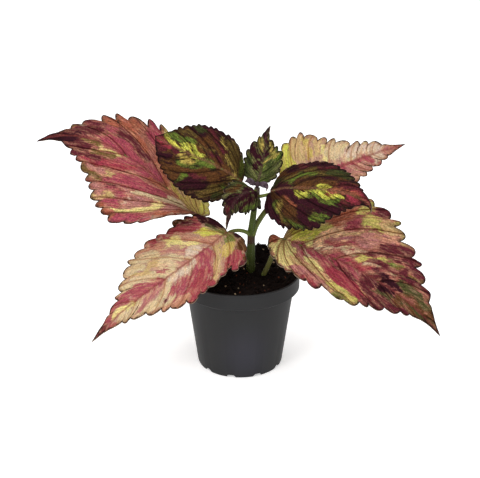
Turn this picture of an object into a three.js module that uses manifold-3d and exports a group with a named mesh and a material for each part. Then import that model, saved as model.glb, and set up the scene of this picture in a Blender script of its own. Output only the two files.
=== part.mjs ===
// A potted coleus: a thin black nursery pot filled with peat, one square-sided stem, and four pairs
// of scalloped leaves on stalks, the upper pairs younger and smaller, below a bud with two leaflets.
// Millimetres, +Z up. The origin is the centre of the pot's underside, and the plant's front is -Y.
import * as THREE from 'three';
import { mergeVertices } from 'three/addons/utils/BufferGeometryUtils.js';
import Module from 'manifold-3d';

const wasm = await Module();
wasm.setup();

// ---------------------------------------------------------------- driving dimensions

const GAP = 0.35; // clearance that touching pieces keep
const FUSE = 0.2; // how far pieces of one node are sunk into each other

const POT = {
  height: 86,
  rimRadius: 52.5,
  rimHeight: 13.5, // the upright band under the lip
  shoulderHeight: 3.5, // slope from the band in to the body
  bodyTopRadius: 46.8,
  footRadius: 37.7,
  footRound: 1.5,
  wall: 1,
  floor: 1.4,
  lip: 0.5, // bead that stands out round the mouth
  lipHeight: 1.6,
  facets: 50,
};

const DRAINS = { count: 10, width: 8, height: 3, reach: 7, outside: 2, firstAngle: -12 }; // slots at the foot

const SOIL = {
  level: 84, // height of the surface at the wall
  crown: 1.5, // how much higher it lies round the stem
  mound: { x: 20, y: 33, height: 11, spread: 15 }, // the plug that stands up at the back
  lump: 0.9,
  rings: [47, 40, 32, 24, 16, 8], // radii of the surface's rings of vertices
};

const SOIL_RADIUS = POT.rimRadius - POT.lip - POT.wall - GAP;

const STEM = {
  path: [[9, 0, 40], [9.2, 0, 84], [9.9, 0, 122], [11.8, 0, 141], [14, 0, 158], [14.6, 0, 162.5]],
  radius: [3.9, 2.3], // foot and tip
  squareness: 0.12, // how far the corners stand out and the sides lie in
  nodes: [122, 157], // heights of the swollen leaf joints
  swelling: 0.5,
  swellingReach: 3.5, // how far above and below its joint a swelling fades
  sides: 8,
  steps: 26,
};

const STALK = {
  sides: 6,
  steps: 16,
  bendPoints: 5, // points on its bend up to the blade
  ribPoints: 7, // points on its run under the blade
  sink: 0.55, // depth of its middle below the blade, as a share of its radius there
};

const BLADE_THICKNESS = 0.8;

// Each leaf lies along its rib, a cubic Bezier curve from the top of the stalk to the tip.
// Pairs of values are [left, right] of the rib as seen from above the base, looking to the tip.
//   margins     points of each side's margin, laid flat and without teeth: along the rib, and out from it
//   halfWidth   how far out the curl and the waves are measured to
//   roll        degrees that the blade is turned about its rib, [base, tip]
//   fold, curl  degrees that each half slopes down at the rib, and slopes further at its margin
//   toothDepth  of the scallops on each side's margin
//   ruffle      height of the margin's waves, and where along the leaf they start
//   lobeCurl    where given, how far the base's lobes turn up beside the stalk
//   stalk       the stalk's first two control points; the others follow from the rib
//   arch        how gently the stalk bends into the rib, as a share of its reach
const LEAVES = {
  leaf_back_left: {
    rib: [[-33.5, 23, 128.5], [-53, 33, 127.5], [-108, 54, 215], [-184, 73, 181]],
    halfWidth: [60, 60], roll: [24, -38], fold: [0, 0], curl: [42, -10],
    margins: [
      [[8, 14.5], [13.5, 25], [20, 35.5], [28, 49], [40, 60], [58, 63.5], [76, 58], [92, 46.5], [110, 33],
       [126, 22.5], [139, 13], [152, 5.5], [165, 2.5]],
      [[3, 8], [5, 20], [8, 33], [11, 45], [15, 57], [22, 66], [34, 70.5], [48, 70], [62, 67.5], [74, 63],
       [83, 56.5], [91, 49], [110, 34], [130, 18.5], [141, 11], [152, 5], [165, 2.5]],
    ],
    teeth: 16, toothDepth: [5.5, 8], ruffle: [2, 0], seed: 1,
    stalk: [[9, 0, 93], [-1, 7, 110]], arch: 0.08, stalkRadius: 2.4,
  },
  leaf_front_left: {
    rib: [[-11, -5, 124], [-50, -35, 100], [-84, -51, 89], [-121, -77, 57]],
    halfWidth: [43, 45], roll: [-8, -7], fold: [-3, -5], curl: [1, -13],
    margins: [
      [[-3, 10], [-2, 20], [4, 29.5], [12, 38], [22, 42.5], [28, 35], [37, 38], [48, 41.5], [60, 43],
       [70, 41], [80, 36], [92, 29], [104, 20], [118, 11], [132, 4.5]],
      [[-2, 10], [-2, 20], [2, 30], [10, 38.5], [20, 42.5], [31, 40.5], [39, 37], [50, 42], [62, 42.5],
       [74, 39], [86, 32.5], [97, 24.5], [106, 16.5], [118, 10], [132, 4.5]],
    ],
    teeth: 14, toothDepth: [5, 5], ruffle: [1.5, 1], seed: 2,
    stalk: [[10, 0, 118.5], [3, -2, 126.5]], arch: 0.2, stalkRadius: 1.8,
  },
  leaf_back_right: {
    rib: [[39, 12, 154], [78, 31, 168], [114, 53, 175], [148, 64, 181]],
    halfWidth: [43, 38], roll: [45, 29], fold: [3, 20], curl: [5, 30],
    margins: [
      [[3, 12], [8, 22], [14, 31], [22, 38.5], [33, 43], [45, 42], [54, 36], [63, 30], [72, 24.5],
       [81, 17.5], [91, 14.5], [99, 12], [106, 6.5], [114, 2.5]],
      [[2, 10], [6, 20], [14, 28], [26, 31], [38, 29], [50, 24], [60, 18.5], [70, 15.5], [80, 13.5],
       [90, 10], [100, 7.5], [110, 4.5]],
    ],
    teeth: 14, toothDepth: [6, 4.5], ruffle: [1.5, 1], seed: 5,
    stalk: [[10, 0, 119], [17, 5, 136]], arch: 0.2, stalkRadius: 2.5,
  },
  leaf_front_right: {
    rib: [[36, -12, 121], [86, -41, 114], [134, -60, 97], [162, -83, 65]],
    halfWidth: [57, 46], roll: [20, 28], fold: [-12, -12], curl: [-5, -5],
    margins: [
      [[3.5, 5], [4.5, 14], [5, 27], [11, 40], [22, 50], [35, 56.5], [48, 60], [62, 60.5], [74, 57],
       [84, 48.5], [92, 41.5], [102, 35], [111, 28.5], [120, 21], [130, 14], [140, 7.5], [150, 2.5]],
      [[-5, 2], [-7.5, 8], [-4.5, 17], [4, 26.5], [14, 34], [26, 41], [40, 44.5], [51, 43.5], [57, 38.5],
       [65, 39], [74, 43], [82, 42.5], [90, 36], [99, 30], [107, 24], [116, 17.5], [125, 11.5],
       [135, 5.5], [146, 2]],
    ],
    lobeCurl: [0, 9], teeth: 14, toothDepth: [7, 5], ruffle: [2, 2], seed: 6,
    stalk: [[16, -6, 76], [28, -9, 98]], arch: 0.12, stalkRadius: 2.3,
  },
  leaf_dark_left: {
    rib: [[2, 7, 165], [-24, 6, 186], [-45, 10, 187], [-74, 40, 196]],
    halfWidth: [32, 32], roll: [-48, -40], fold: [3, -5], curl: [27, 16],
    margins: [
      [[3, 9], [6, 18], [12, 26], [22, 31], [34, 32.5], [46, 30.5], [57, 27], [66, 22.5], [74, 17],
       [81, 11], [87, 5]],
      [[3, 8], [8, 16], [15, 23.5], [25, 29.5], [36, 31], [48, 30], [60, 27.5], [69, 23], [76, 16.5],
       [82, 9.5], [88, 3.5]],
    ],
    teeth: 16, toothDepth: [3, 3], ruffle: [1, 2], seed: 3,
    stalk: [[13.7, 0, 156], [8, 3, 160]], arch: 0.2, stalkRadius: 1.6,
  },
  leaf_dark_right: {
    rib: [[25, -7, 161], [36, -18, 174], [112, -42, 175], [104, -49, 159]],
    halfWidth: [33, 36], roll: [34, 38], fold: [-3, 3], curl: [28, 40],
    margins: [
      [[2, 9], [5, 18], [11, 25.5], [20, 30], [31, 32], [43, 31.5], [53, 28], [61, 23], [69, 16.5],
       [76, 10.5], [84, 5], [91, 2]],
      [[-3, 5], [-4, 13], [0, 21.5], [7, 27.5], [16, 32], [27, 34.5], [39, 34], [50, 31.5], [58, 26],
       [65, 20.5], [73, 14.5], [80, 9], [88, 3.5]],
    ],
    teeth: 16, toothDepth: [3, 3.5], ruffle: [1, 0], seed: 4,
    stalk: [[13.7, 0, 154], [20, -3, 156]], arch: 0.2, stalkRadius: 1.6,
  },
  leaf_small_front: {
    rib: [[12, -5, 162], [9, -12, 163], [-9, -22, 168], [-10, -39, 140]],
    halfWidth: [15, 14], roll: [-34, -60], fold: [18, 9], curl: [22, 14],
    margins: [
      [[-2, 6], [-2, 12], [3, 15.5], [12, 15.5], [21, 16], [28, 11.5], [33, 6], [38, 3], [44, 2]],
      [[-1, 7], [4, 13], [13, 15], [22, 12], [29, 9], [35, 6.5], [40, 2.5], [46, 1.5]],
    ],
    teeth: 7, toothDepth: [2, 2], ruffle: [0, 0], seed: 7,
    stalk: [[14.3, 0, 159], [13.5, -2.5, 161]], arch: 0.2, stalkRadius: 1,
  },
  leaf_small_top: {
    rib: [[15, 5, 166], [22, 24, 180], [20, 24, 193], [25, 27, 209]],
    halfWidth: [16, 15], roll: [8, 6], fold: [-4, -3], curl: [23, 17],
    margins: [
      [[0, 6], [4, 12], [13, 16], [22, 15.5], [29, 14.5], [34, 10.5], [39, 6.5], [45, 3]],
      [[0, 5], [3, 10], [10, 13], [19, 15.5], [28, 14.5], [33, 10.5], [37, 6], [42, 2.5], [47, 1]],
    ],
    teeth: 7, toothDepth: [2, 2], ruffle: [0, 0], seed: 8,
    stalk: [[14.5, 0.5, 160.5], [14.6, 2.5, 163]], arch: 0.2, stalkRadius: 1,
  },
};

// The bud's two leaflets have the same form, small and with no teeth.
const LEAFLET_RIBS = [
  [[13, -0.5, 165], [10, -1, 169], [7, -1.5, 170], [4, -2, 168]],
  [[16, -0.5, 164.5], [19, -1.5, 168], [24, -2.5, 165], [21.5, -3.5, 160.5]],
];
const LEAFLET = {
  halfWidth: [2.4, 2.4], roll: [0, 0], fold: [10, 10], curl: [30, 30],
  margins: [[[2, 1.6], [4.5, 2.4], [7.5, 1.7]], [[2, 1.6], [4.5, 2.4], [7.5, 1.7]]],
  teeth: 0, toothDepth: [0, 0], ruffle: [0, 0], seed: 0,
};
const BUD = { centre: [14.7, 0, 165.2], radii: [2.2, 1.9, 2.6] };

const WAVES = 3; // waves of the ruffle along each margin

const TEETH = {
  stretch: [0.08, 0.92], // part of the margin that bears teeth
  fade: 0.17, // share of that stretch over which they grow at each end
  steps: { round: [0, 0.3, 0.7], small: [0, 0.5] }, // each tooth's vertices: notch and crest
  roundFrom: 4, // depth from which a tooth has two vertices on its round
  bluntness: 0.6, // low for a broad round tooth
  inward: 0.55, // share of its depth that its notch cuts into the smooth margin
  lean: 0.35, // how far a tooth points forward, as a share of its depth
  blend: 0.8, // share of the half width at which the teeth begin to shape the blade
};
const UNEVEN = { width: 0.2, widthRate: 2.1, depth: 0.28, depthRate: 2.4, seedRate: 1.7, side: 2.3 };

const LEAFLET_ROWS = 6;
const PLAIN_ROWS = { base: [0.25, 0.5, 0.75], tip: [0, 0.4, 0.75] }; // rows before and after the teeth
const FAN = 0.3; // share of the margin whose side veins all rise from the foot of the rib
const FAN_SPREAD = { foot: 0.04, power: 1.35 }; // how the other side veins' roots are spaced on the rib
const STRIPS = [0, 0.4, 0.8, 1]; // rows of vertices from the rib to the margin
const RIB_REACH = 0.62; // how far the raised rib runs under the blade
const RIB_RADIUS = { base: 0.8, tip: 0.08, least: 0.35 }; // shares of the stalk's radius, and a least one

// ---------------------------------------------------------------- solids

/** A closed triangle mesh as a solid that can be joined and cut. */
function solid(geometry) {
  const bare = geometry.index ? geometry.clone() : geometry;
  bare.deleteAttribute('normal');
  bare.deleteAttribute('uv');
  const merged = mergeVertices(bare, 1e-4);
  return new wasm.Manifold(new wasm.Mesh({
    numProp: 3,
    vertProperties: new Float32Array(merged.attributes.position.array),
    triVerts: new Uint32Array(merged.index.array),
  }));
}

/** The largest body of a solid, as a geometry. A cut can leave slivers beside it. */
function geometryOf(shape) {
  const bodies = shape.decompose().sort((a, b) => b.volume() - a.volume());
  const mesh = bodies[0].getMesh();
  const geometry = new THREE.BufferGeometry();
  geometry.setAttribute('position', new THREE.BufferAttribute(mesh.vertProperties, 3));
  geometry.setIndex(new THREE.BufferAttribute(mesh.triVerts, 1));
  return geometry;
}

/** A tube along a curve: radius(share, angle) gives its outline, and its ends are closed. */
function tube(curve, radius, sides, steps) {
  const frames = curve.computeFrenetFrames(steps);
  const points = [];
  for (let step = 0; step <= steps; step++) {
    const share = step / steps;
    const centre = curve.getPointAt(share);
    for (let side = 0; side < sides; side++) {
      const angle = (side / sides) * 2 * Math.PI;
      const r = radius(share, angle);
      points.push(centre.clone()
        .addScaledVector(frames.normals[step], r * Math.cos(angle))
        .addScaledVector(frames.binormals[step], r * Math.sin(angle)));
    }
  }
  const first = points.push(curve.getPointAt(0)) - 1;
  const last = points.push(curve.getPointAt(1)) - 1;
  const index = [];
  for (let side = 0; side < sides; side++) {
    const next = (side + 1) % sides;
    for (let step = 0; step < steps; step++) {
      const a = step * sides + side;
      const b = step * sides + next;
      index.push(a, b, b + sides, a, b + sides, a + sides);
    }
    index.push(first, next, side);
    index.push(last, steps * sides + side, steps * sides + next);
  }
  return closed(points, index);
}

/** A geometry from points and triangles. */
function closed(points, index) {
  const geometry = new THREE.BufferGeometry().setFromPoints(points);
  geometry.setIndex(index);
  return geometry;
}

function smoothstep(low, high, value) {
  return THREE.MathUtils.smoothstep(value, low, high);
}

// ---------------------------------------------------------------- pot and soil

function potGeometry() {
  const { height, rimRadius, rimHeight, shoulderHeight, bodyTopRadius, footRadius, footRound } = POT;
  const { wall, floor, lip, lipHeight, facets } = POT;
  const bandFoot = height - rimHeight;
  const shoulderFoot = bandFoot - shoulderHeight;
  const profile = [
    [0, 0],
    [footRadius - footRound, 0],
    [footRadius, footRound],
    [bodyTopRadius, shoulderFoot],
    [rimRadius - lip, bandFoot],
    [rimRadius - lip, height - lipHeight],
    [rimRadius, height - lipHeight + lip],
    [rimRadius, height],
    [rimRadius - lip - wall, height],
    [rimRadius - lip - wall, bandFoot + wall / 2],
    [bodyTopRadius - wall, shoulderFoot + wall / 2],
    [footRadius - wall, floor],
    [0, floor],
  ].map(([r, z]) => new THREE.Vector2(r, z));
  const lathe = new THREE.LatheGeometry(profile, facets);
  lathe.rotateX(Math.PI / 2);
  const slots = Array.from({ length: DRAINS.count }, (_, slot) => {
    return drainCutter(DRAINS.firstAngle + (slot * 360) / DRAINS.count);
  });
  return geometryOf(slots.reduce((pot, slot) => pot.subtract(slot), solid(lathe)));
}

/** A block with a round top that cuts one drain slot through the foot's wall. */
function drainCutter(degrees) {
  const half = DRAINS.width / 2;
  const arch = new THREE.Shape();
  arch.moveTo(-half, -1);
  arch.lineTo(half, -1);
  arch.quadraticCurveTo(half, DRAINS.height, 0, DRAINS.height);
  arch.quadraticCurveTo(-half, DRAINS.height, -half, -1);
  const block = { depth: DRAINS.reach, bevelEnabled: false, curveSegments: 3 };
  const cutter = new THREE.ExtrudeGeometry(arch, block);
  cutter.rotateX(Math.PI / 2);
  cutter.translate(0, DRAINS.reach - DRAINS.outside - POT.footRadius, 0);
  cutter.rotateZ(THREE.MathUtils.degToRad(degrees));
  return solid(cutter);
}

/** Height of the peat at a place: a low crown, a mound at the back, and lumps. */
function soilHeight(x, y) {
  const { level, crown, mound, lump } = SOIL;
  const inward = 1 - Math.hypot(x, y) / SOIL_RADIUS;
  const hill = mound.height * Math.exp(-((x - mound.x) ** 2 + (y - mound.y) ** 2) / mound.spread ** 2);
  const lumps = lump * Math.sin(x * 0.31 + y * 0.17) * Math.cos(y * 0.29 - x * 0.11);
  return level + crown * inward + hill * smoothstep(0, 0.2, inward) + lumps;
}

function soilGeometry(holes) {
  const bandFoot = POT.height - POT.rimHeight;
  const profile = [
    [0, POT.floor + GAP],
    [POT.footRadius - POT.wall - GAP, POT.floor + GAP],
    [POT.bodyTopRadius - POT.wall - GAP, bandFoot - POT.shoulderHeight + POT.wall / 2],
    [SOIL_RADIUS, bandFoot + POT.wall],
    ...[SOIL_RADIUS, ...SOIL.rings, 0].map((r) => [r, POT.height]),
  ].map(([r, z]) => new THREE.Vector2(r, z));
  const lathe = new THREE.LatheGeometry(profile, POT.facets);
  lathe.rotateX(Math.PI / 2);
  const place = lathe.attributes.position;
  for (let i = 0; i < place.count; i++) {
    if (place.getZ(i) > POT.height - GAP) place.setZ(i, soilHeight(place.getX(i), place.getY(i)));
  }
  return geometryOf(holes.reduce((peat, hole) => peat.subtract(hole), solid(lathe)));
}

// ---------------------------------------------------------------- stem and stalks

/** The stem, grown by a margin for the pieces that keep clear of it. */
function stem(margin) {
  const path = STEM.path.map((p) => new THREE.Vector3(...p));
  path[0].z -= margin;
  path[path.length - 1].z += margin;
  const curve = new THREE.CatmullRomCurve3(path);
  const radius = (share, angle) => {
    const height = curve.getPointAt(share).z;
    const joints = STEM.nodes.map((node) => Math.exp(-(((height - node) / STEM.swellingReach) ** 2)));
    const swell = STEM.swelling * Math.max(...joints);
    const taper = THREE.MathUtils.lerp(...STEM.radius, smoothstep(0.35, 1, share));
    return (taper + swell) * (1 + STEM.squareness * Math.cos(4 * angle)) + margin;
  };
  return solid(tube(curve, radius, STEM.sides, STEM.steps));
}

/** The stalk and the raised rib that it becomes under the blade, grown by a margin. */
function stalk(spec, leaf, margin) {
  const [foot, lead] = spec.stalk.map((p) => new THREE.Vector3(...p));
  foot.z -= margin;
  const top = leaf.rib.getPointAt(0);
  const back = leaf.rib.getTangentAt(0).multiplyScalar(-spec.arch * top.distanceTo(foot));
  const sink = (share) => STALK.sink * ribRadius(spec, share) + FUSE;
  const under = (share) => leaf.point(share * leaf.length, 0, 0, -sink(share));
  const bend = new THREE.CubicBezierCurve3(foot, lead, under(0).clone().add(back), under(0));
  const points = bend.getPoints(STALK.bendPoints);
  const stalkShare = bend.getLength() / (bend.getLength() + RIB_REACH * leaf.length);
  for (let step = 1; step <= STALK.ribPoints; step++) {
    points.push(under((RIB_REACH * step) / STALK.ribPoints));
  }
  const curve = new THREE.CatmullRomCurve3(points);
  const radius = (share) => margin + (share < stalkShare
    ? THREE.MathUtils.lerp(spec.stalkRadius, ribRadius(spec, 0), share / stalkShare)
    : ribRadius(spec, (RIB_REACH * (share - stalkShare)) / (1 - stalkShare)));
  return solid(tube(curve, radius, STALK.sides, STALK.steps));
}

/** Radius of the stalk's run under the blade, from the blade's base to where it fades out. */
function ribRadius(spec, share) {
  const { base, tip, least } = RIB_RADIUS;
  return THREE.MathUtils.lerp(base * spec.stalkRadius, least + tip * spec.stalkRadius, share / RIB_REACH);
}

// ---------------------------------------------------------------- leaf blades

/** Where along a toothed margin a tooth's step lies; the teeth's widths vary a little. */
function marginShare(spec, side, tooth, step) {
  const notch = (n) => {
    const inside = n > 0 && n < spec.teeth;
    const phase = UNEVEN.widthRate * n + spec.seed + UNEVEN.side * side;
    return (n + (inside ? UNEVEN.width * Math.sin(phase) : 0)) / spec.teeth;
  };
  return THREE.MathUtils.lerp(...TEETH.stretch, THREE.MathUtils.lerp(notch(tooth), notch(tooth + 1), step));
}

/** A blade's margin on one side of the rib, laid flat and with no teeth, from the stalk to the tip. */
function outline(spec, side, length) {
  const places = [[0, 0], ...spec.margins[side], [length, 0]];
  const curve = new THREE.CatmullRomCurve3(places.map(([x, s]) => new THREE.Vector3(x, s, 0)));
  curve.arcLengthDivisions = 400;
  return curve;
}

/** A leaf's surface: its rib, its outline laid flat, and its points in space. */
function leafForm(spec) {
  const rib = new THREE.CubicBezierCurve3(...spec.rib.map((p) => new THREE.Vector3(...p)));
  rib.arcLengthDivisions = 400;
  const length = rib.getLength();
  const outlines = [outline(spec, 0, length), outline(spec, 1, length)];

  /** How far a tooth carries the margin out and forward from its smooth line, flat. */
  function toothOffset(side, tooth, step, t) {
    const [start, end] = TEETH.stretch;
    const along = (t - start) / (end - start);
    const grown = smoothstep(0, TEETH.fade, along) * (1 - smoothstep(1 - TEETH.fade, 1, along));
    const phase = UNEVEN.depthRate * tooth + UNEVEN.seedRate * (spec.seed + UNEVEN.side * side);
    const depth = spec.toothDepth[side] * grown;
    const size = depth * (1 + UNEVEN.depth * Math.sin(phase));
    const round = Math.abs(Math.sin(Math.PI * step)) ** TEETH.bluntness;
    const ahead = outlines[side].getTangentAt(t);
    return new THREE.Vector3(-ahead.y, ahead.x, 0).multiplyScalar(size * (round - TEETH.inward))
      .addScaledVector(ahead, depth * TEETH.lean * round);
  }

  /** A point of the blade: x along the rib, s out from it, and lift above its middle surface. */
  function point(x, s, side, lift = 0) {
    const share = THREE.MathUtils.clamp(x / length, 0, 1);
    const ahead = rib.getTangentAt(share);
    const left = new THREE.Vector3(0, 0, 1).cross(ahead).normalize();
    const up = ahead.clone().cross(left);
    // the roll follows the curve's own parameter, as the curve's points do
    const roll = THREE.MathUtils.lerp(...spec.roll, smoothstep(0, 1, rib.getUtoTmapping(share)));
    left.applyAxisAngle(ahead, THREE.MathUtils.degToRad(roll));
    up.applyAxisAngle(ahead, THREE.MathUtils.degToRad(roll));
    const out = s / spec.halfWidth[side];
    const slope = THREE.MathUtils.degToRad(spec.fold[side] + (spec.curl[side] * Math.min(out, 1.4)) / 2);
    const wave = 2 * Math.PI * WAVES * THREE.MathUtils.clamp(x / length, -0.2, 1) + spec.ruffle[1] + 2 * side;
    const ruffle = spec.ruffle[0] * Math.min(out, 1.3) ** 2 * Math.sin(wave);
    const behind = smoothstep(0, 0.08, -x / length) * (1 - smoothstep(0.1, 0.6, out));
    const turned = spec.lobeCurl ? spec.lobeCurl[side] * behind : 0;
    return rib.getPointAt(share)
      .addScaledVector(ahead, Math.min(x, 0))
      .addScaledVector(left, (side ? -1 : 1) * s * Math.cos(slope))
      .addScaledVector(up, ruffle + turned + lift - s * Math.sin(slope));
  }

  return { rib, length, outlines, toothOffset, point };
}

/** The blade's rows of vertices: a tooth and a step of it, or a share of the plain margin. */
function bladeRows(spec) {
  if (!spec.teeth) {
    return Array.from({ length: LEAFLET_ROWS }, (_, row) => ({ nominal: (row + 1) / (LEAFLET_ROWS + 1) }));
  }
  const [start, end] = TEETH.stretch;
  const rows = PLAIN_ROWS.base.map((share) => ({ nominal: share * start }));
  const steps = Math.max(...spec.toothDepth) < TEETH.roundFrom ? TEETH.steps.small : TEETH.steps.round;
  for (let tooth = 0; tooth < spec.teeth; tooth++) {
    for (const step of steps) {
      rows.push({ tooth, step, nominal: THREE.MathUtils.lerp(start, end, (tooth + step) / spec.teeth) });
    }
  }
  const last = PLAIN_ROWS.tip.map((share) => ({ nominal: THREE.MathUtils.lerp(end, 1, share) }));
  return [...rows, ...last];
}

/** The blade as a thin plate, split into triangles alike on both faces. */
function blade(spec, leaf) {
  const middle = [leaf.point(0, 0, 0)];
  const rows = bladeRows(spec);
  const perRow = 2 * STRIPS.length - 1;
  for (const { tooth, step, nominal } of rows) {
    const fan = THREE.MathUtils.clamp((nominal - FAN) / (1 - FAN), 0, 1);
    const root = leaf.length * THREE.MathUtils.lerp(fan ** FAN_SPREAD.power, nominal, FAN_SPREAD.foot);
    const half = (side, out) => {
      const t = tooth === undefined ? nominal : marginShare(spec, side, tooth, step);
      const flat = new THREE.Vector3(root, 0, 0).lerp(leaf.outlines[side].getPointAt(t), out);
      if (tooth !== undefined) {
        flat.addScaledVector(leaf.toothOffset(side, tooth, step, t), smoothstep(TEETH.blend, 1, out));
      }
      return leaf.point(flat.x, flat.y, side);
    };
    STRIPS.slice(1).reverse().forEach((out) => middle.push(half(0, out)));
    middle.push(leaf.point(root, 0, 0));
    STRIPS.slice(1).forEach((out) => middle.push(half(1, out)));
  }
  const tip = middle.push(leaf.point(leaf.length, 0, 0)) - 1;

  const faces = [];
  const at = (row, column) => 1 + row * perRow + column;
  for (let column = 0; column < perRow - 1; column++) {
    faces.push([0, at(0, column + 1), at(0, column)]);
    for (let row = 0; row < rows.length - 1; row++) {
      faces.push([at(row, column), at(row, column + 1), at(row + 1, column + 1)]);
      faces.push([at(row, column), at(row + 1, column + 1), at(row + 1, column)]);
    }
    faces.push([at(rows.length - 1, column), at(rows.length - 1, column + 1), tip]);
  }
  const rim = [0];
  for (let row = 0; row < rows.length; row++) rim.push(at(row, perRow - 1));
  rim.push(tip);
  for (let row = rows.length - 1; row >= 0; row--) rim.push(at(row, 0));

  // both faces are the middle surface moved half the thickness along its normals
  const sheet = closed(middle, faces.flat());
  sheet.computeVertexNormals();
  const normals = sheet.attributes.normal;
  const layer = (distance) => middle.map((p, i) => p.clone()
    .addScaledVector(new THREE.Vector3().fromBufferAttribute(normals, i), distance));
  const count = middle.length;
  const index = [...faces.flat(), ...faces.flatMap(([a, b, c]) => [count + a, count + c, count + b])];
  rim.forEach((a, i) => {
    const b = rim[(i + 1) % rim.length];
    index.push(a, count + b, b, a, count + a, count + b);
  });
  return solid(closed([...layer(BLADE_THICKNESS / 2), ...layer(-BLADE_THICKNESS / 2)], index));
}

// ---------------------------------------------------------------- assembly

const COLOURS = {
  pot: 0x3a3a3c,
  soil: 0x1d1310,
  stem: 0x5f6b33,
  leaf_back_left: 0xa0605c,
  leaf_front_left: 0xc09a72,
  leaf_back_right: 0xbd9c7c,
  leaf_front_right: 0xa8735a,
  leaf_dark_left: 0x54402a,
  leaf_dark_right: 0x5a3b2c,
  leaf_small_front: 0x43302f,
  leaf_small_top: 0x5b5a36,
  shoot_tip: 0x4d3a42,
};

const plant = new THREE.Group();

function place(name, geometry, roughness) {
  const material = new THREE.MeshStandardMaterial({ color: COLOURS[name], roughness, metalness: 0 });
  const mesh = new THREE.Mesh(geometry, material);
  mesh.name = name;
  plant.add(mesh);
}

const stemRoom = stem(GAP);
const holes = [stemRoom];

for (const [name, spec] of Object.entries(LEAVES)) {
  const form = leafForm(spec);
  place(name, geometryOf(blade(spec, form).add(stalk(spec, form, 0)).subtract(stemRoom)), 0.6);
  if (spec.stalk[0][2] < POT.height) holes.push(stalk(spec, form, GAP));
}

const budShape = new THREE.SphereGeometry(1, 10, 8).scale(...BUD.radii).translate(...BUD.centre);
const leaflets = LEAFLET_RIBS.map((rib) => blade({ rib, ...LEAFLET }, leafForm({ rib, ...LEAFLET })));
place('shoot_tip', geometryOf(leaflets.reduce((bud, leaflet) => bud.add(leaflet), solid(budShape))
  .subtract(stemRoom)), 0.6);

place('stem', geometryOf(stem(0)), 0.6);
place('soil', soilGeometry(holes), 0.95);
place('pot', potGeometry(), 0.45);

export default plant;
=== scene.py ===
# A potted coleus: a black nursery pot of peat, a square stem, eight scalloped, variegated leaves on
# stalks, and the shoot's bud. Dimensions are in millimetres until they enter a mesh.
# The origin is the centre of the pot's underside, +Z is up, and the plant's front is -Y.
import math
import random

import bpy
import numpy as np
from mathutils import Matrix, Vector, noise


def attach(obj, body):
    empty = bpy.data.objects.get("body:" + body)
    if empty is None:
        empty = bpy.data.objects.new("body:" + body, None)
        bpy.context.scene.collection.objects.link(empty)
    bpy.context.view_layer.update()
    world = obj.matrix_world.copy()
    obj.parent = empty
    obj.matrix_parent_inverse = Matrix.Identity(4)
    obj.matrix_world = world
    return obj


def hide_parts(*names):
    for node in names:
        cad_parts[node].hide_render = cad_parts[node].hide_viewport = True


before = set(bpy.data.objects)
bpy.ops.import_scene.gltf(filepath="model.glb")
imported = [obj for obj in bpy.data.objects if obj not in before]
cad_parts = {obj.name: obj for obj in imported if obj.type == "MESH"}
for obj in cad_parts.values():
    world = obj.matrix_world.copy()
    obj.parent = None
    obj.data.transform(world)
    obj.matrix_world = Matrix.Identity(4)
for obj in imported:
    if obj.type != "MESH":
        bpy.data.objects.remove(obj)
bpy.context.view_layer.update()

MM = 0.001

# ---------------------------------------------------------------- the leaves' forms

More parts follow.
